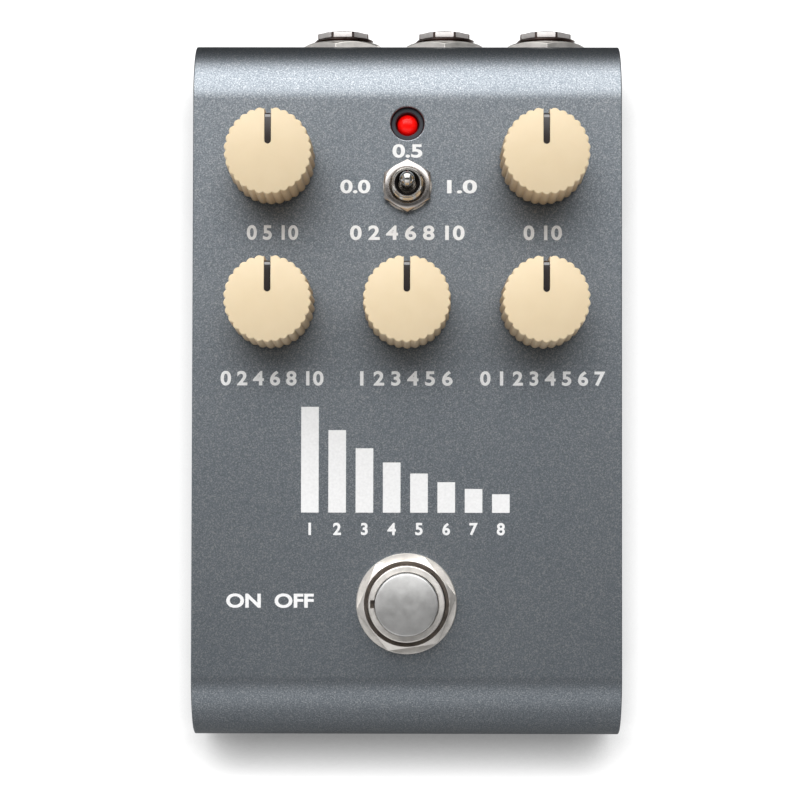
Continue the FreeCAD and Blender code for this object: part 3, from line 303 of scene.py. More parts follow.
# %% Case finish
CASE_GREY, shader = new_finish("slate_coat", Metallic=0.98, Specular_IOR_Level=0.5)
flakes = noise(CASE_GREY, 5200, detail=2.0, roughness=0.6)
drift = noise(CASE_GREY, 60, detail=3)
grain = ramp(CASE_GREY, flakes, (0.30, (0.146, 0.166, 0.186)), (0.52, (0.222, 0.245, 0.268)),
             (0.70, (0.410, 0.420, 0.430)))
cloud = ramp(CASE_GREY, drift, (0.3, (0.94, 0.95, 0.96)), (0.7, (1, 1, 1)))
join(CASE_GREY, tinted(CASE_GREY, grain, cloud), shader.inputs["Base Color"])
polish(CASE_GREY, shader, flakes, 0.40, 0.34)
rough_up(CASE_GREY, shader, flakes, 0.012, 0.5)
print("case finish:", len(CASE_GREY.node_tree.nodes), "nodes")

# %% [markdown]
# ## Case: the folded cover
# The cover is one sheet folded twice: front wall, top and rear wall. It could be cut from a block,
# but a folded sheet is quicker and truer. One line of four points is pulled across the width, the
# two corner edges are beveled into bends of 9.5 mm, and the sheet is then given its thickness.

# %% Folded cover
GAUGE, BEND = 1.6 * MM, 9.5 * MM         # the sheet's thickness, a bend's radius
low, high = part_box("top_cover")
bm = bmesh.new()
corners = [bm.verts.new((low.x, y, z)) for y, z in
           ((low.y, low.z), (low.y, high.z), (high.y, high.z), (high.y, low.z))]
fold_line = [bm.edges.new(pair) for pair in zip(corners, corners[1:])]
pulled = bmesh.ops.extrude_edge_only(bm, edges=fold_line)["geom"]
bmesh.ops.translate(bm, vec=(high.x - low.x, 0, 0), verts=points_of(pulled))
soften(bm, [edge for edge in bm.edges if len(edge.link_faces) == 2], BEND, 32)
bmesh.ops.recalc_face_normals(bm, faces=bm.faces)
top_face = max(bm.faces, key=lambda face: abs(face.normal.z) * face.calc_area())
if top_face.normal.z < 0:
    bmesh.ops.reverse_faces(bm, faces=bm.faces)
bmesh.ops.solidify(bm, geom=bm.faces, thickness=GAUGE)
cover = piece_from("case_cover", bm)
print("cover:", [round(value / MM, 2) for value in cover.dimensions], "mm")

# %% [markdown]
# ## Case: tabs and holes
# Four small tabs are folded inwards at the foot of the walls, and take the base screws. Then every
# control, the lamp, the jacks and the power inlet need their holes. All the drills are put in one
# bmesh and cut in a single Boolean, which is quicker than one cut per hole. The data socket's slot
# is a box whose four long edges are beveled until its ends are round.

# %% Tabs and holes
TAB_X, TAB_LONG, TAB_HALF = 24.5 * MM, 8 * MM, 6 * MM
bm = bmesh.new()
screws = []
for x in (-TAB_X, TAB_X):
    for inner, outer in ((low.y + GAUGE + TAB_LONG, low.y + GAUGE * 0.5),
                         (high.y - GAUGE - TAB_LONG, high.y - GAUGE * 0.5)):
        block(bm, (x - TAB_HALF, min(inner, outer), low.z + GAUGE),
              (x + TAB_HALF, max(inner, outer), low.z + 2 * GAUGE))
        screws.append((x, inner + math.copysign(TAB_LONG / 2, outer - inner)))
carve(cover, bm, "UNION")

CONTROLS = ("time", "mix", "tape_age", "repeats", "mechanics")
JACKS = ("output", "expression", "input")
SHAFT_HOLE, SCREW_HOLE, SOCKET_PLAY = 3.6 * MM, 1.7 * MM, 0.2 * MM
drills = bmesh.new()
under, over = top_z - 3 * MM, top_z + 2 * MM
for control in CONTROLS:
    x, y = place_of("knob_" + control)[:2]
    pillar(drills, SHAFT_HOLE, under, over, x, y)
for node, radius in (("lamp_lens", 2.55), ("toggle_washer", 2.5), ("footswitch_washer", 5.95)):
    x, y = place_of(node)[:2]
    pillar(drills, radius * MM, under, over, x, y, sides=96)
for x, y in screws:
    pillar(drills, SCREW_HOLE, low.z + GAUGE * 0.5, low.z + 2.5 * GAUGE, x, y)
to_rear = Matrix.Rotation(math.radians(-90), 3, "X")
for node, radius in [("jack_sleeve_" + jack, 4.85) for jack in JACKS] + [("power_jack_pin", 3.25)]:
    a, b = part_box(node)
    hole = pillar(drills, radius * MM, -3 * MM, 3 * MM)
    bmesh.ops.rotate(drills, verts=hole, matrix=to_rear)
    bmesh.ops.translate(drills, vec=((a.x + b.x) / 2, high.y, (a.z + b.z) / 2), verts=hole)
a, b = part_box("usb_shell")
slot = block(drills, (a.x - SOCKET_PLAY, high.y - 3 * MM, a.z - SOCKET_PLAY),
             (b.x + SOCKET_PLAY, high.y + 3 * MM, b.z + SOCKET_PLAY))
long_edges = {edge for vert in slot for edge in vert.link_edges
              if abs(edge.verts[0].co.y - edge.verts[1].co.y) > 1 * MM}
soften(drills, list(long_edges), (b.z - a.z) / 2 + 0.18 * MM, 12)
carve(cover, drills)
dress(cover, CASE_GREY, "case", ["top_cover"], rim=0.22)

# %% [markdown]
# ## Knobs: cream plastic
# The knobs are moulded in a warm cream plastic with a satin skin. A little subsurface scattering
# lets light bleed through the thin lobes, as it does in light plastic. A slow noise keeps the
# colour from being flat, and a fine bump breaks up the highlight. A ramp over the height paints
# shade on the sides: they get darker and browner towards the panel, and the crown stays clean.
# The pointers are bars of black lacquer, glossy enough to mirror whatever is behind the unit.

# %% Knob finish
KNOB_CREAM, shader = new_finish("cream_plastic", Roughness=0.42, Subsurface_Weight=0.08,
                                Subsurface_Scale=0.0012, Specular_IOR_Level=0.45)
shader.inputs["Subsurface Radius"].default_value = (1.0, 0.7, 0.4)
tint = ramp(KNOB_CREAM, noise(KNOB_CREAM, 400, detail=4), (0.3, (0.755, 0.61, 0.40)),
            (0.7, (0.775, 0.63, 0.42)))
CROWN_OVER_PANEL = 13.7 * MM
where = add(KNOB_CREAM, "SeparateXYZ", Vector=add(KNOB_CREAM, "TexCoord").outputs["Object"])
up = add(KNOB_CREAM, "MapRange", Value=where.outputs["Z"], From_Min=top_z,
         From_Max=top_z + CROWN_OVER_PANEL).outputs["Result"]
# Painted shade: the colour darkens down the knob's sides towards the panel, and the crown keeps
# it.
painted_side_shade = ramp(KNOB_CREAM, up, (0.0, (0.50, 0.44, 0.38)), (0.965, (0.93, 0.89, 0.87)),
               (0.985, (1, 1, 1)))
join(KNOB_CREAM, tinted(KNOB_CREAM, tint, painted_side_shade), shader.inputs["Base Color"])
skin = noise(KNOB_CREAM, 3000, detail=2)
polish(KNOB_CREAM, shader, skin, 0.36, 0.48)
rough_up(KNOB_CREAM, shader, skin, 0.012, 0.25)

POINTER_BLACK, shader = new_finish("pointer_lacquer", IOR=1.7, Coat_Weight=1.0, Coat_IOR=1.6,
                                   Coat_Roughness=0.04)
streak = noise(POINTER_BLACK, 900, detail=3, stretch=(1, 0.2, 1))
paint(POINTER_BLACK, shader, streak, (0.007, 0.004, 0.004), (0.018, 0.010, 0.008))
polish(POINTER_BLACK, shader, streak, 0.04, 0.08)
print("knob finishes ready")

# %% [markdown]
# ## Knobs: thirty lobes and a slot
# Each knob is a tapered drum with thirty soft lobes that meet in sharp valleys. It could be a
# cylinder with thirty grooves cut by a Boolean, but then every valley needs its own cut. Here a
# circle of 240 points is pressed inwards, more at the valleys and not at all on the crests, and
# then pulled up ring by ring. The recess under the knob and its bore are made the same way, from
# the foot upwards. One last cut makes the slot, which is open through the rim.

# %% Knob shape
LOBES, PER_LOBE = 30, 8
KNOB_TALL, FOOT_R, CROWN_R, VALLEY = 12.1 * MM, 6.7 * MM, 6.56 * MM, 0.30 * MM
# Sizes in millimetres, from the knob's axis and foot.
RECESS_R, RECESS_DEEP, BORE_R, BORE_DEEP = 5.5, 3.2, 3.03, 6.2
SLOT_HALF, SLOT_START, SLOT_FLOOR, SLOT_FACE = 0.5, 1.0, 10.9, 5.73
BAR_PLAY, BAR_TOP = 0.03, 12.04


def rise(bm, edges, height, radius_before, radius_after):
    """Pull a ring of edges up and change its radius. Gives the new ring."""
    new = bmesh.ops.extrude_edge_only(bm, edges=edges)["geom"]
    points = points_of(new)
    ratio = radius_after / radius_before
    bmesh.ops.scale(bm, vec=(ratio, ratio, 1), verts=points)
    bmesh.ops.translate(bm, vec=(0, 0, height), verts=points)
    return [item for item in new if isinstance(item, bmesh.types.BMEdge)]


def knob_drum():
    """The drum with its lobes, its recess and its bore, standing on the origin."""
    bm = bmesh.new()
    foot = bmesh.ops.create_circle(bm, segments=LOBES * PER_LOBE, radius=FOOT_R)["verts"]
    for step in range(PER_LOBE):
        share = 1 - abs(step / PER_LOBE - 0.5) * 2       # 1 in a valley, 0 on a crest
        ratio = (FOOT_R - VALLEY * share ** 1.8) / FOOT_R
        bmesh.ops.scale(bm, vec=(ratio, ratio, 1), verts=foot[step::PER_LOBE])
    rim = list(bm.edges)
    side = rise(bm, rim, KNOB_TALL - 0.25 * MM, FOOT_R, CROWN_R)    # two rings soften its end
    shoulder = rise(bm, side, 0.17 * MM, CROWN_R, CROWN_R - 0.07 * MM)
    crown = rise(bm, shoulder, 0.08 * MM, CROWN_R - 0.07 * MM, CROWN_R - 0.24 * MM)
    bmesh.ops.contextual_create(bm, geom=crown)
    mouth = bmesh.ops.create_circle(bm, segments=LOBES * PER_LOBE,
                                    radius=RECESS_R * MM)["verts"]
    inner = list({edge for vert in mouth for edge in vert.link_edges})
    bmesh.ops.bridge_loops(bm, edges=rim + inner)
    recess = rise(bm, inner, RECESS_DEEP * MM, 1, 1)
    bore = rise(bm, recess, 0, RECESS_R, BORE_R)
    end = rise(bm, bore, BORE_DEEP * MM, 1, 1)
    bmesh.ops.contextual_create(bm, geom=end)
    return bm


def slot_cutter():
    """The slot's shape: a trench in the crown that runs down the side, and past the knob."""
    bm = bmesh.new()
    side = [bm.verts.new((-SLOT_HALF * MM, y * MM, z * MM)) for y, z in
            ((SLOT_START, 14), (8, 14), (8, -1), (SLOT_FACE, -1), (SLOT_FACE, SLOT_FLOOR),
             (SLOT_START, SLOT_FLOOR))]
    new = bmesh.ops.extrude_face_region(bm, geom=[bm.faces.new(side)])["geom"]
    bmesh.ops.translate(bm, vec=(2 * SLOT_HALF * MM, 0, 0), verts=points_of(new))
    inner_end = [edge for edge in bm.edges if all(v.co.y < 1.01 * MM for v in edge.verts)
                 and abs(edge.verts[0].co.z - edge.verts[1].co.z) > 1 * MM]
    soften(bm, inner_end, 0.49 * MM, 8)
    return bm


def pointer_bar():
    """The black bar in the slot, round at its inner end and rolled over at its outer end."""
    bm = bmesh.new()
    half = SLOT_HALF - BAR_PLAY
    block(bm, (-half * MM, (SLOT_START + BAR_PLAY) * MM, (SLOT_FLOOR + BAR_PLAY) * MM),
          (half * MM, SLOT_FACE * MM, BAR_TOP * MM))
    inner_end = [edge for edge in bm.edges if all(v.co.y < 2 * MM for v in edge.verts)
                 and abs(edge.verts[0].co.z - edge.verts[1].co.z) > 0.5 * MM]
    soften(bm, inner_end, 0.46 * MM, 8)
    outer_end = [edge for edge in bm.edges if all(v.co.y > 5 * MM and v.co.z > 12 * MM
                                                  for v in edge.verts)]
    soften(bm, outer_end, 0.75 * MM, 10)
    return bm


for control in CONTROLS:
    x, y, foot_z = place_of("knob_" + control)[:3]
    drum = piece_from(control + "_knob_drum", move(knob_drum(), x, y, foot_z))
    carve(drum, move(slot_cutter(), x, y, foot_z))
    dress(drum, KNOB_CREAM, control + "_knob", ["knob_" + control], crisp=42)
    bar = piece_from(control + "_knob_pointer", move(pointer_bar(), x, y, foot_z))
    dress(bar, POINTER_BLACK, control + "_knob", ["pointer_" + control], rim=0.06)

# %% [markdown]
# ## Nickel and steel
# Nuts, washers and jack noses are nickel plated: bright, a little warm, and scratched by spanners.
# Bright metal is mostly what it reflects, so its own pattern is faint. A stretched noise makes
# fine turning marks in the roughness, a second noise dulls the plate in patches, and a shallow
# bump bends the reflections. The footswitch cap is the same metal with a satin face, and threads
# are a darker metal.

# %% Nickel and steel


def metal(name, colour, smooth, dull, marks=2600, depth=0.004):
    """A plated or turned metal with faint marks: roughness from smooth to dull."""
    finish, shader = new_finish(name, Metallic=1.0)
    patches = noise(finish, 420, detail=5, roughness=0.65)
    lines = noise(finish, marks, detail=3, stretch=(1, 1, 0.15))
    darker = tuple(channel * 0.86 for channel in colour)
    join(finish, ramp(finish, patches, (0.35, darker), (0.6, colour)), shader.inputs["Base Color"])
    polish(finish, shader, maths(finish, "MULTIPLY", patches, lines), smooth, dull, 0.12, 0.42)
    rough_up(finish, shader, lines, depth, 0.4)
    return finish


NICKEL = metal("bright_nickel", (0.80, 0.765, 0.72), 0.10, 0.24)
SOFT_NICKEL = metal("soft_nickel", (0.90, 0.865, 0.82), 0.36, 0.50)
NOSE_NICKEL = metal("nose_nickel", (0.70, 0.67, 0.655), 0.60, 0.70)
THREAD_METAL = metal("thread_metal", (0.36, 0.315, 0.285), 0.25, 0.45, marks=1500, depth=0.05)
# This dark metal also colours the blocks that fill the jacks' notches, which paint shade there.
DARK_THREAD_AND_NOTCH_SHADE = metal("dark_thread_and_notch_shade", (0.13, 0.095, 0.085), 0.25, 0.45)
# A darker copy of the nickel for the toggle's nut, which paints shade on it.
SHADED_NICKEL = metal("shaded_nickel", (0.54, 0.505, 0.48), 0.14, 0.28)
CAP_SATIN = metal("satin_nickel", (0.655, 0.65, 0.64), 0.32, 0.38, marks=900, depth=0.002)
SHAFT_STEEL = metal("turned_steel", (0.56, 0.56, 0.57), 0.25, 0.4)
SCREW_BLACK = metal("black_oxide", (0.06, 0.06, 0.065), 0.35, 0.55)
BRASS = metal("spring_brass", (0.78, 0.57, 0.25), 0.2, 0.4)
ALUMINIUM = metal("drawn_aluminium", (0.78, 0.79, 0.80), 0.2, 0.35)
print("metals ready")

# %% [markdown]
# ## Screw threads
# The footswitch, the toggle and the jacks stand in threaded necks. A thread could be a stack of
# rings, but a real one climbs. The spin operator can also lift the outline a little at every step,
# which makes a helix: one tooth of the thread is spun for several turns, each turn lands on the
# one before, and two flat cuts, which are filled again, make the rod's ends.

# %% Screw threads


def threaded_rod(radius, pitch, low, high, steps=48):
    """A closed rod with a real thread, between two heights. All lengths in millimetres."""
    bm = bmesh.new()
    turns = math.ceil((high - low) / pitch) + 2
    start = low - 1.5 * pitch
    tooth = [bm.verts.new((r * MM, 0, (start + rise_by) * MM)) for r, rise_by in
             ((radius - 0.55 * pitch, 0), (radius, 0.45 * pitch), (radius, 0.55 * pitch),
              (radius - 0.55 * pitch, pitch))]
    edges = [bm.edges.new(pair) for pair in zip(tooth, tooth[1:])]
    bmesh.ops.spin(bm, geom=tooth + edges, cent=(0, 0, 0), axis=(0, 0, 1),
                   dvec=(0, 0, pitch * MM / steps), angle=math.tau * turns, steps=steps * turns)
    bmesh.ops.remove_doubles(bm, verts=bm.verts, dist=2e-6)
    for height, side in ((low, -1), (high, 1)):
        bmesh.ops.bisect_plane(bm, geom=bm.verts[:] + bm.edges[:] + bm.faces[:], dist=1e-8,
                               plane_co=(0, 0, height * MM), plane_no=(0, 0, side),
                               clear_outer=True)
        rim = [edge for edge in bm.edges if edge.is_boundary
               and all(abs(v.co.z - height * MM) < 1e-7 for v in edge.verts)]
        bmesh.ops.contextual_create(bm, geom=rim)
    return bm


def hex_nut(flats, height, bore, sink=0.0, slope=30):
    """A hexagon nut, its upper corners turned down by a slope, its bore countersunk.

    The prism is taller than the nut, so that it shares no face with the shape that turns it down.
    """
    bm = bmesh.new()
    corner = flats / 2 / math.cos(math.radians(30))
    pillar(bm, corner * MM, 0, (height + 0.5) * MM, sides=6, turn=30)
    nut = piece_from("nut", bm)
    edge, reach = 0.485 * flats, corner + 0.3        # where the slope starts, and past its end
    drop = (reach - edge) * math.tan(math.radians(slope))
    carve(nut, turned([(0, -1), (reach, -1), (reach, height - drop), (edge, height),
                       (0, height)]), "INTERSECT")
    carve(nut, turned([(0, -1), (bore, -1), (bore, height - sink), (bore + sink, height + 0.001),
                       (bore + sink, height + 1), (0, height + 1)]))
    bm = bmesh.new()
    bm.from_mesh(nut.data)
    bpy.data.objects.remove(nut)
    return bm


def spun(degrees):
    """A turn around Z."""
    return Matrix.Rotation(math.radians(degrees), 3, "Z")


print("thread helper ready")

# %% [markdown]
# ## Footswitch
# A heavy momentary switch: a round washer, a hexagon nut, a threaded neck, and a domed cap that
# sinks 1.5 mm when it is pressed. Round pieces are outlines spun around their axis, each a list of
# radius and height in millimetres. The neck is a threaded rod that is turned out from above. Shoes
# polish its mouth while the thread stays dark, so the mouth is a bright collar of its own. Both
# have a small key slot on the left, where the switch is stopped from turning during assembly.

# %% Footswitch
x, y, washer_z, washer_top = place_of("footswitch_washer")
washer = turned([(5.92, 0), (7.7, 0), (7.7, 0.78), (7.58, 0.9), (6.0, 0.9), (5.92, 0.82)])
dress(piece_from("footswitch_plain_washer", move(washer, x, y, washer_z)), SOFT_NICKEL, "case",
      ["footswitch_washer"], crisp=30)
nut = hex_nut(13.3, 2.4, 5.92, sink=0.62)
dress(piece_from("footswitch_hex_nut", move(nut, x, y, washer_top, spun(8.5))), SOFT_NICKEL,
      "case", ["footswitch_nut"], rim=0.07)

neck_low, neck_top = (value / MM for value in place_of("footswitch_bushing")[2:])
THREAD_R, STEM_BORE, CAP_BORE = 5.85, 4.2, 5.02


def key_slot(left, half, low):
    """The cutter for the key slot: its reach to the left, half its width, and its foot."""
    bm = bmesh.new()
    block(bm, (left * MM, -half * MM, low * MM), (-4.4 * MM, half * MM, (neck_top + 1) * MM))
    return bm


neck = piece_from("footswitch_neck", threaded_rod(THREAD_R, 0.75, neck_low, neck_top - 0.5, 64))
carve(neck, turned([(0, neck_low - 1), (STEM_BORE, neck_low - 1), (STEM_BORE, neck_top - 3.5),
                    (CAP_BORE, neck_top - 3.5), (CAP_BORE, neck_top + 1), (0, neck_top + 1)]))
carve(neck, key_slot(-5.45, 0.6, neck_top - 2.8))
neck.data.transform(Matrix.Translation((x, y, 0)))
dress(neck, THREAD_METAL, "case", ["footswitch_bushing"], crisp=30)
collar = piece_from("footswitch_collar", turned(
    [(4.86, neck_top - 1.2), (5.3, neck_top - 1.2), (5.3, neck_top - 0.5), (5.66, neck_top - 0.5),
     (5.80, neck_top - 0.3), (5.76, neck_top - 0.06), (5.66, neck_top), (4.98, neck_top),
     (4.86, neck_top - 0.1)]))
carve(collar, key_slot(-5.5, 0.62, neck_top - 2.5))
collar.data.transform(Matrix.Translation((x, y, 0)))
dress(collar, SOFT_NICKEL, "case", ["footswitch_bushing"], crisp=30)

cap_low, cap_top = (value / MM for value in place_of("footswitch_cap")[2:])
head_low = top_z / MM + 3.5
shoulder = top_z / MM - 1.6 - 0.1        # under the sheet, less a little play
nub_and_stem = [(0, cap_low), (1.5, cap_low), (1.5, shoulder - 1), (4.5, shoulder - 1),
                (4.5, shoulder), (4.15, shoulder), (4.15, head_low), (4.74, head_low)]
thin_rim = [(4.74, 0.45), (4.71, 0.37), (4.63, 0.295), (4.60, 0.275)]
dome = [(4.54, 0.265), (4.2, 0.227), (3.6, 0.167), (2.4, 0.074), (1.2, 0.019), (0, 0)]
cap = turned(nub_and_stem + [(radius, cap_top - drop) for radius, drop in thin_rim + dome])
dress(piece_from("footswitch_domed_cap", move(cap, x, y, 0)), CAP_SATIN, "cap",
      ["footswitch_cap"], crisp=50)

# %% [markdown]
# ## Footswitch: the return spring
# A coil of wire under the cap's shoulder pushes it back. It could be a curve with a round bevel,
# but three spins make it too: a small upright ring is spun upwards, slowly for the closed turn at
# each end and faster for the four open turns between. The spring can't ride on one body, because
# its foot stays while its head sinks. So it rides on the case.

# %% Return spring
WIRE_R, COIL_R, CLOSED, PER_TURN = 0.3 * MM, 3.4 * MM, 0.65 * MM, 36
x, y, spring_low, spring_top = place_of("footswitch_spring")
coil = bmesh.new()
bmesh.ops.create_circle(coil, segments=10, radius=WIRE_R)
move(coil, COIL_R, 0, spring_low + WIRE_R, Matrix.Rotation(math.radians(90), 3, "X"))
end = coil.verts[:] + coil.edges[:]
open_climb = spring_top - spring_low - 2 * WIRE_R - 2 * CLOSED
for turns, climb in ((1, CLOSED), (4, open_climb), (1, CLOSED)):
    steps = PER_TURN * turns
    end = bmesh.ops.spin(coil, geom=end, cent=(0, 0, 0), axis=(0, 0, 1), angle=math.tau * turns,
                         steps=steps, dvec=(0, 0, climb / steps))["geom_last"]
bmesh.ops.holes_fill(coil, edges=[edge for edge in coil.edges if edge.is_boundary])
spring = dress(piece_from("footswitch_return_spring", move(coil, x, y, 0)), SHAFT_STEEL, "case",
               ["footswitch_spring"], crisp=50)
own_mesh(spring)

# %% [markdown]
# ## Toggle
# The small toggle has three positions. Its neck is threaded, its thin nut stopped with a corner
# towards the jacks, and its bat-shaped lever stands in a narrow mouth. The lever is one spun
# outline: a ball at the pivot, a waist, and a thicker rounded end. A near-black lining in the
# mouth is painted shade: it stands in for the dark inside of the hole.

# %% Toggle
x, y, washer_z, washer_top = place_of("toggle_washer")
washer = turned([(2.46, 0), (3.75, 0), (3.75, 0.4), (3.65, 0.5), (2.52, 0.5), (2.46, 0.44)])
dress(piece_from("toggle_plain_washer", move(washer, x, y, washer_z)), SOFT_NICKEL, "case",
      ["toggle_washer"], crisp=30)
# The nut takes the darker copy of the nickel: painted shade.
nut = hex_nut(7.1, 1.5, 2.46, sink=0.3, slope=37)
dress(piece_from("toggle_hex_nut", move(nut, x, y, washer_top, spun(30))), SHADED_NICKEL, "case",
      ["toggle_nut"], rim=0.06)

neck_low, neck_top = (value / MM for value in place_of("toggle_bushing")[2:])
neck = piece_from("toggle_neck", threaded_rod(2.4, 0.5, neck_low, neck_top - 0.3, 48))
carve(neck, turned([(0, neck_top - 0.5), (2.22, neck_top - 0.5), (2.22, neck_top - 0.10),
                    (2.13, neck_top), (0, neck_top)]), "UNION")
carve(neck, turned([(0, neck_low - 1), (1.65, neck_low - 1), (1.65, neck_top - 2.2),
                    (1.88, neck_top - 1.9), (1.88, neck_top - 0.1), (1.96, neck_top + 0.001),
                    (1.96, neck_top + 1), (0, neck_top + 1)]))
neck.data.transform(Matrix.Translation((x, y, 0)))
dress(neck, NICKEL, "case", ["toggle_bushing"], crisp=30)

# Painted shade: a near-black, dull lining that darkens the mouth of the toggle's neck.
MOUTH_SHADE_BLACK, shader = new_finish("mouth_shade_lining", Roughness=0.9, Specular_IOR_Level=0.1)
paint(MOUTH_SHADE_BLACK, shader, noise(MOUTH_SHADE_BLACK, 1800), (0.006, 0.005, 0.005), (0.014, 0.012, 0.012))
mouth_shade_shape = turned([(1.42, neck_top - 1.9), (1.86, neck_top - 1.9), (1.86, neck_top - 0.22),
               (1.76, neck_top - 0.22), (1.50, neck_top - 1.1)])
dress(piece_from("toggle_dust_boot", move(mouth_shade_shape, x, y, 0)), MOUTH_SHADE_BLACK, "case",
      ["toggle_bushing"], crisp=30)

PIVOT_R, TIP_R = 1.6, 1.12
pivot = top_z / MM + 1.5
bat_z = top_z / MM + 11.0 - TIP_R
ball = [(PIVOT_R * math.sin(math.radians(a)), pivot - PIVOT_R * math.cos(math.radians(a)))
        for a in range(20, 151, 10)]
tip = [(TIP_R * math.cos(math.radians(a)), bat_z + TIP_R * math.sin(math.radians(a)))
       for a in range(-30, 91, 10)]
lever = turned([(0, pivot - 4.6), (0.5, pivot - 4.6), (0.5, pivot - 1.53), *ball,
                (0.72, pivot + 2.2), (0.78, bat_z - 2.4), *tip], steps=64)
CHROME = metal("lever_chrome", (0.62, 0.605, 0.585), 0.06, 0.14)
dress(piece_from("toggle_bat_lever", move(lever, x, y, 0)), CHROME, "lever",
      ["toggle_lever"], crisp=50)

# %% [markdown]
# ## Lamp
# The lamp is a clear red lens sunk in a dark tube, lit from within. A red that only glows looks
# like a sticker, so the lens keeps a thin glossy coat that mirrors the sky. Its glow fades from
# the middle to the rim, where more of the coloured resin is in the way. The fade follows the
# distance from the lens's own axis: a Mapping node puts the axis at zero and the rim at one.

# %% Lamp
LENS_R, DOME = 1.55, 0.95
x, y, board_z, lens_top = (value / MM for value in place_of("lamp_lens"))
LAMP_RED, shader = new_finish("lamp_resin", Roughness=0.2, Coat_Weight=0.25, Coat_Roughness=0.06,
                              Specular_IOR_Level=0.1)
paint(LAMP_RED, shader, noise(LAMP_RED, 700, detail=2), (0.68, 0.0, 0.0), (0.80, 0.008, 0.005))
where = add(LAMP_RED, "TexCoord").outputs["Object"]
from_axis = add(LAMP_RED, "Mapping", Vector=where, Location=(-x / LENS_R, -y / LENS_R, 0),
                Scale=(1 / (LENS_R * MM), 1 / (LENS_R * MM), 0)).outputs["Vector"]
reach = add(LAMP_RED, "VectorMath", {"operation": "LENGTH"}, _0=from_axis).outputs["Value"]
join(LAMP_RED, ramp(LAMP_RED, reach, (0.3, (1.0, 0.008, 0.005)), (0.8, (0.92, 0.004, 0.003)),
                    (1.0, (0.55, 0.0, 0.0))), shader.inputs["Emission Color"])
shader.inputs["Emission Strength"].default_value = 0.36

BLACK_PLASTIC, shader = new_finish("moulded_black", Roughness=0.5)
speck = noise(BLACK_PLASTIC, 1500, detail=4)
paint(BLACK_PLASTIC, shader, speck, (0.022, 0.025, 0.034), (0.038, 0.042, 0.054))
polish(BLACK_PLASTIC, shader, speck, 0.42, 0.58)
rough_up(BLACK_PLASTIC, shader, speck, 0.01, 0.3)

arc = [(LENS_R * math.cos(math.radians(a)), lens_top - DOME + DOME * math.sin(math.radians(a)))
       for a in range(0, 91, 6)]
lens_shape = turned([(0, board_z), (LENS_R, board_z), *arc], steps=64)
dress(piece_from("lamp_domed_lens", move(lens_shape, x * MM, y * MM, 0)), LAMP_RED, "case",
      ["lamp_lens"], crisp=50)
holder_top = place_of("lamp_holder")[3] / MM
tube = turned([(1.8, board_z), (2.5, board_z), (2.5, holder_top - 0.1), (2.4, holder_top),
               (1.95, holder_top), (1.8, holder_top - 0.15)], steps=64)
dress(piece_from("lamp_dark_tube", move(tube, x * MM, y * MM, 0)), BLACK_PLASTIC, "case",
      ["lamp_holder"], crisp=30)

# %% [markdown]
# ## Jacks
# Each jack is a threaded sleeve with an eight-sided nose, held by a hexagon nut. The corners of
# the nose are notched for a spanner. The sleeve is dark while its nose is bright, so the nose is
# a ring of its own over the dark metal. Eight thin dark blocks on the sleeve fill the notches
# almost
# to the top: painted shade, which stands in for the shadow in each notch. All of it is built
# upright, like the necks above, and then laid towards +Y.

# %% Jacks
wall_y = high.y
NOSE_FLATS, NOSE_BORE, PLUG_BORE = 8.0, 3.64, 3.25
corner = NOSE_FLATS / 2 / math.cos(math.radians(22.5))
to_corners = [spun(22.5 + 45 * step) for step in range(8)]
for jack, turn in zip(JACKS, (21, 30, 30)):      # each nut stopped at its own angle
    a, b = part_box("jack_sleeve_" + jack)
    x, z = (a.x + b.x) / 2, (a.z + b.z) / 2
    lay_down = Matrix.Translation((x, wall_y, z)) @ to_rear.to_4x4()
    sleeve = piece_from(f"{jack}_jack_sleeve", threaded_rod(4.75, 0.8, -6.6, 2.25, 64))
    carve(sleeve, turned([(0, 1.9), (3.6, 1.9), (3.6, 3.2), (3.5, 3.3), (0, 3.3)]), "UNION")
    # Painted shade: dark blocks that fill the nose's notches.
    notch_shading = bmesh.new()
    for to_corner in to_corners:
        shade_block = block(notch_shading, (3.4 * MM, -0.15 * MM, 2.1 * MM),
                    ((corner - 0.06) * MM, 0.17 * MM, 3.12 * MM))
        bmesh.ops.rotate(notch_shading, verts=shade_block, matrix=to_corner)
    carve(sleeve, notch_shading, "UNION")
    carve(sleeve, turned([(0, -8), (PLUG_BORE, -8), (PLUG_BORE, 5), (0, 5)]))
    sleeve.data.transform(lay_down)
    dress(sleeve, DARK_THREAD_AND_NOTCH_SHADE, "case", ["jack_sleeve_" + jack], crisp=30)

    upright = bmesh.new()
    pillar(upright, corner * MM, 2.35 * MM, 3.16 * MM, sides=8, turn=22.5)
    rim = [edge for edge in upright.edges if all(v.co.z > 3 * MM for v in edge.verts)]
    soften(upright, rim, 0.1 * MM, 2)
    nose = piece_from(f"{jack}_jack_nose", upright)
    notches = bmesh.new()
    for to_corner in to_corners:
        notch = block(notches, (3.7 * MM, -0.2 * MM, 2.2 * MM),
                      ((corner + 1) * MM, 0.2 * MM, 4 * MM))
        bmesh.ops.rotate(notches, verts=notch, matrix=to_corner)
    carve(nose, notches)
    carve(nose, turned([(0, 1), (NOSE_BORE, 1), (NOSE_BORE, 5), (0, 5)]))
    nose.data.transform(lay_down)
    dress(nose, NOSE_NICKEL, "case", ["jack_sleeve_" + jack], crisp=30)
    nut = hex_nut(12.0, 1.4, 4.8, sink=0.25)
    nut = piece_from(f"{jack}_jack_nut", move(nut, x, wall_y, z, to_rear @ spun(turn)))
    dress(nut, SOFT_NICKEL, "case", ["jack_nuts"], rim=0.07)

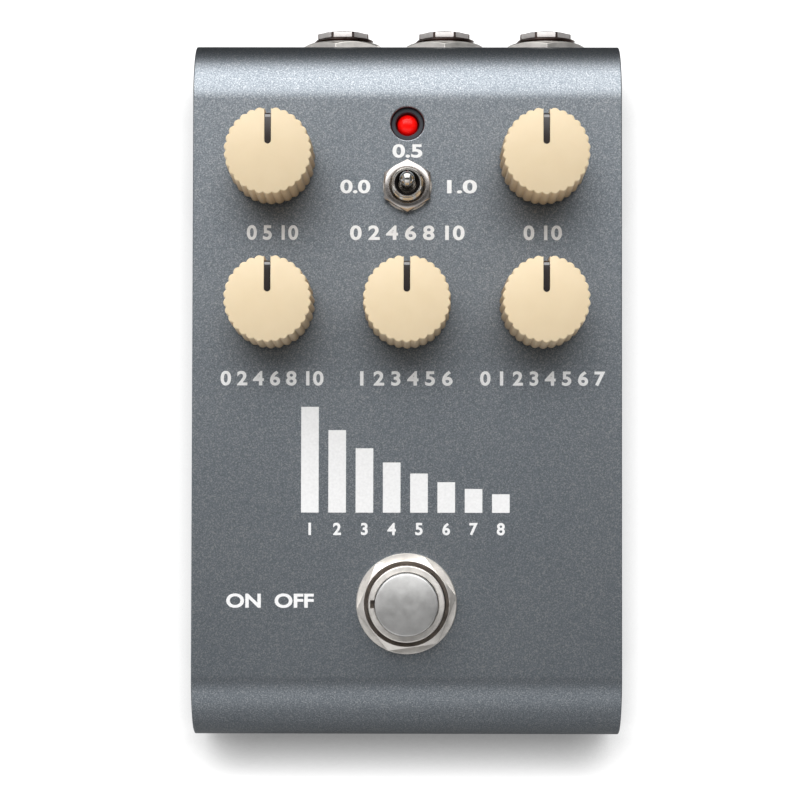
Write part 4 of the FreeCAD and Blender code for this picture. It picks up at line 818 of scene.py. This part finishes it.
# %% [markdown]
# ## White print
# Dials need numbers, and the wide space between the knobs and the footswitch takes a row of bars
# that get shorter, the way a repeated echo fades. Type is drawn as a text curve, made a mesh, and
# only then scaled and carried to its place, so the finished print sits on the case like the ink of
# a screen print: a skin two hundredths of a millimetre thick. All of it is one piece.

# %% White print
PRINT_WHITE, shader = new_finish("print_white", Roughness=0.45)
ink = noise(PRINT_WHITE, 2600, detail=3)
paint(PRINT_WHITE, shader, ink, (0.81, 0.81, 0.81), (0.89, 0.89, 0.89))
polish(PRINT_WHITE, shader, ink, 0.4, 0.55)
INK = 0.02 * MM
print_bm = bmesh.new()


def print_text(text, x, y, height, width=None):
    """Print a text around a point in millimetres: as high as asked, and as wide if asked."""
    curve = bpy.data.curves.new("type", "FONT")
    curve.body, curve.size, curve.offset = text, 1.0, 0.03
    typed = bpy.data.objects.new("type", curve)
    bpy.context.scene.collection.objects.link(typed)
    bpy.context.view_layer.update()
    mesh = bpy.data.meshes.new_from_object(
        typed.evaluated_get(bpy.context.evaluated_depsgraph_get()))
    bm = bmesh.new()
    bm.from_mesh(mesh)
    left, right = (pick(v.co.x for v in bm.verts) for pick in (min, max))
    under, over = (pick(v.co.y for v in bm.verts) for pick in (min, max))
    bmesh.ops.translate(bm, vec=(-(left + right) / 2, -(under + over) / 2, 0), verts=bm.verts)
    tall = height * MM / (over - under)
    wide = width * MM / (right - left) if width else tall
    bmesh.ops.scale(bm, vec=(wide, tall, 1), verts=bm.verts)
    bmesh.ops.translate(bm, vec=(x * MM, y * MM, top_z), verts=bm.verts)
    bm.to_mesh(mesh)
    bm.free()
    print_bm.from_mesh(mesh)
    bpy.data.objects.remove(typed)
    bpy.data.curves.remove(curve)
    bpy.data.meshes.remove(mesh)


# Each row is a text, the place of its middle, its height and its width, in millimetres.
DIALS = [("0 5 10", -20.7, 22.0, 2.3, 7.9), ("0 2 4 6 8 10", 0.0, 22.0, 2.3, 17.6),
         ("0 10", 20.8, 22.0, 2.3, 5.9), ("0.5", 0.0, 34.6, 2.1, 4.6),
         ("0.0", -8.0, 29.1, 2.1, 4.6), ("1.0", 8.4, 29.1, 2.1, 4.6),
         ("0 2 4 6 8 10", -20.7, -0.4, 2.3, 15.8), ("1 2 3 4 5 6", -0.1, -0.4, 2.3, 14.2),
         ("0 1 2 3 4 5 6 7", 20.8, -0.4, 2.3, 19.2), ("ON  OFF", -20.9, -34.5, 2.2, 13.4)]
for text, x, y, height, width in DIALS:
    print_text(text, x, y, height, width)
BARS, PITCH, BAR, FIRST, FOOT = 8, 4.18, 2.7, -16.2, -21.0
TALLEST, FADE = 16.2, 0.78                       # each bar has 0.78 of the height before it
for step in range(BARS):
    left = FIRST + step * PITCH
    over = FOOT + TALLEST * FADE ** step
    patch(print_bm, (left * MM, FOOT * MM), ((left + BAR) * MM, over * MM), top_z)
    print_text(str(step + 1), left + BAR / 2, FOOT - 2.5, 1.9)
skin = bmesh.ops.extrude_face_region(print_bm, geom=print_bm.faces[:])["geom"]
bmesh.ops.translate(print_bm, vec=(0, 0, INK), verts=points_of(skin))
dress(piece_from("panel_print", print_bm), PRINT_WHITE, "case", crisp=30)

# %% [markdown]
# ## Pieces that stay as they are
# The tray, the feet, the screws and everything inside keep their CAD meshes, which already have
# the right shape. They only need finishes. Rubber is nearly black and rough with a fine grain, the
# circuit board is a green lacquer over woven glass, and its chips and cans are what they are made
# of. One table gives each finish the nodes whose names start with its words.

# %% Finishes of the CAD pieces
RUBBER, shader = new_finish("rubber_crumb", Roughness=0.8)
crumb = noise(RUBBER, 2200, detail=4)
paint(RUBBER, shader, crumb, (0.014, 0.014, 0.014), (0.036, 0.036, 0.037))
rough_up(RUBBER, shader, crumb, 0.03, 0.5)

BOARD_GREEN, shader = new_finish("board_lacquer", Roughness=0.35, Coat_Weight=0.3)
weave = noise(BOARD_GREEN, 1300, detail=1, stretch=(1, 0.3, 1))
paint(BOARD_GREEN, shader, weave, (0.012, 0.085, 0.040), (0.024, 0.150, 0.072))
rough_up(BOARD_GREEN, shader, weave, 0.01, 0.4)

FINISHES = ((CASE_GREY, "base_tray"), (SCREW_BLACK, "base_screws"), (RUBBER, "rubber_feet"),
            (BOARD_GREEN, "main_board"), (ALUMINIUM, "board_capacitors"),
            (BRASS, "jack_contacts"), (SHAFT_STEEL, "shaft_ clinch_nuts control_necks"),
            (NICKEL, "control_washers control_nuts power_jack_pin usb_shell"),
            (BLACK_PLASTIC, "control_body_ jack_body_ board_chips toggle_body footswitch_body "
                            "footswitch_contact power_jack_body usb_tongue"))
FINISH_OF = {start: finish for finish, starts in FINISHES for start in starts.split()}
plain = []
for node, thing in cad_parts.items():
    finish = next((FINISH_OF[start] for start in FINISH_OF if node.startswith(start)), None)
    if finish:
        thing.data.materials.clear()
        thing.data.materials.append(finish)
    elif not thing.hide_render:
        plain.append(node)
print("CAD nodes without a finish:", plain)

# %% [markdown]
# ## Floor
# The unit lies on a white floor that runs out of sight. Three quarters of what the camera and
# mirrors see of it is a glow, which is white but lights nothing, and which an ambient occlusion
# node dims close to the unit. The last quarter is ordinary white paint, and that is all that the
# other rays find. So the floor looks white, throws back as much light as paper would, and keeps
# the unit's shadow. The occlusion leans towards the light at the rear, so the dim band is wider
# in front of the unit than behind it.

# %% Floor
GLOW_SHARE, GLOW, CONTACT = 0.75, 1.5, 9.6 * MM
bm = bmesh.new()
patch(bm, (-3, -3), (3, 3), 0)
floor = piece_from("studio_floor", bm)
FLOOR_WHITE = bpy.data.materials.new("floor_white")
FLOOR_WHITE.use_nodes = True
FLOOR_WHITE.node_tree.nodes.clear()
output = add(FLOOR_WHITE, "OutputMaterial")
white = add(FLOOR_WHITE, "BsdfDiffuse", Color=(0.80, 0.80, 0.80, 1)).outputs[0]
towards_light = add(FLOOR_WHITE, "CombineXYZ", X=0.0, Y=0.8, Z=0.6)
contact = add(FLOOR_WHITE, "AmbientOcclusion", {"samples": 16}, Normal=towards_light.outputs[0],
              Distance=CONTACT)
near = maths(FLOOR_WHITE, "POWER", contact.outputs["AO"], 2.0)       # falls off more steeply
glow = add(FLOOR_WHITE, "Emission", Strength=maths(FLOOR_WHITE, "MULTIPLY", near, GLOW))
both = add(FLOOR_WHITE, "MixShader", Fac=GLOW_SHARE, _1=white, _2=glow.outputs[0])
rays = add(FLOOR_WHITE, "LightPath").outputs
seen = maths(FLOOR_WHITE, "MAXIMUM", rays["Is Camera Ray"], rays["Is Glossy Ray"])
seen = maths(FLOOR_WHITE, "MAXIMUM", seen, rays["Is Transmission Ray"])
choice = add(FLOOR_WHITE, "MixShader", Fac=seen, _1=white, _2=both.outputs[0])
join(FLOOR_WHITE, choice.outputs[0], output.inputs["Surface"])
floor.data.materials.append(FLOOR_WHITE)
print("floor ready")

# %% [markdown]
# ## Cards around the unit
# A glossy bend that faces a white floor has no edge: it melts into the floor. So a studio lays
# cards around such an object. A black one behind makes the last millimetres of the rear bend dark,
# and a grey one in front does the same, more gently, for the front bend. The cards here are hidden
# from the camera and cast no shadow. They only show in reflections.

# %% Cards


def card(name, shade, low, high):
    """A flat card on the floor between two corners, given in metres."""
    bm = bmesh.new()
    patch(bm, low, high, 0.5 * MM)
    sheet = piece_from(name, bm)
    paper, shader = new_finish(name + "_paper", Roughness=0.9)
    shader.inputs["Base Color"].default_value = (shade, shade, shade, 1)
    sheet.data.materials.append(paper)
    sheet.visible_camera = sheet.visible_shadow = False


card("rear_card", 0.01, (-0.45, 0.06), (0.45, 0.90))
card("front_card", 0.30, (-0.45, -0.60), (0.45, -0.057))
print("cards: rear and front")

# %% [markdown]
# ## Sky
# All light comes from a painted sky, as if the unit stood in a dark tent with one wide window. The
# window is high behind the unit, from about 15 to 80 degrees off the vertical. It makes the bright
# band on the rear bend and the soft shadows in front of the knobs, and what is straight overhead
# stays dark, so the flat top keeps its depth. Weaker light in front fills the fronts of the knobs.
# A ramp paints the brightness by the angle from the vertical, where the rear counts as positive.
# Three more work across the width: one leans the light to the left, one paints the plain ends of
# the tent, and one says where they begin.

# %% Sky
# Pairs of an angle in degrees and a brightness.
WINDOW = ((-90, 0.28), (-60, 0.75), (-35, 1.12), (-15, 0.12), (0, 0.10), (9, 0.28), (18, 2.1),
          (25, 4.5), (38, 3.0), (55, 3.7), (70, 3.2), (90, 0.3))
ENDS = ((0.0, 0.45), (0.5, 0.30), (0.84, 0.30), (0.9, 0.08))   # across, and a brightness
BRIGHTEST = 6.2          # a ramp holds no more than 1, so colours are divided by this
LEAN = 1.24              # the left of the window is brighter than its middle by this much


def grey(value):
    """A neutral colour of one brightness."""
    return (value, value, value)


sky = bpy.data.worlds.new("studio_sky")
bpy.context.scene.world = sky
sky.use_nodes = True
where = add(sky, "TexCoord").outputs["Generated"]
parts = add(sky, "SeparateXYZ", Vector=where)
angle = maths(sky, "ARCTAN2", parts.outputs["Y"], parts.outputs["Z"])
swing = add(sky, "MapRange", Value=angle, From_Min=-math.pi / 2, From_Max=math.pi / 2)
middle = ramp(sky, swing.outputs["Result"],
              *(((at + 90) / 180, grey(value * LEAN / BRIGHTEST)) for at, value in WINDOW))
width = add(sky, "MapRange", Value=parts.outputs["X"], From_Min=-1, From_Max=1).outputs["Result"]
ends = ramp(sky, width, *((at, grey(value / BRIGHTEST)) for at, value in ENDS))
middle = tinted(sky, middle, ramp(sky, width, (0.25, grey(1)), (0.75, grey(2 / LEAN - 1))))
beside = ramp(sky, width, (0.19, grey(1)), (0.25, grey(0)), (0.75, grey(0)), (0.81, grey(1)))
whole = add(sky, "Mix", {"data_type": "RGBA"}, _0=beside, _6=middle, _7=ends).outputs[2]
back = sky.node_tree.nodes["Background"]
join(sky, whole, back.inputs["Color"])
back.inputs["Strength"].default_value = BRIGHTEST
bpy.context.scene.view_settings.view_transform = "Standard"
print("sky stops:", len(WINDOW))
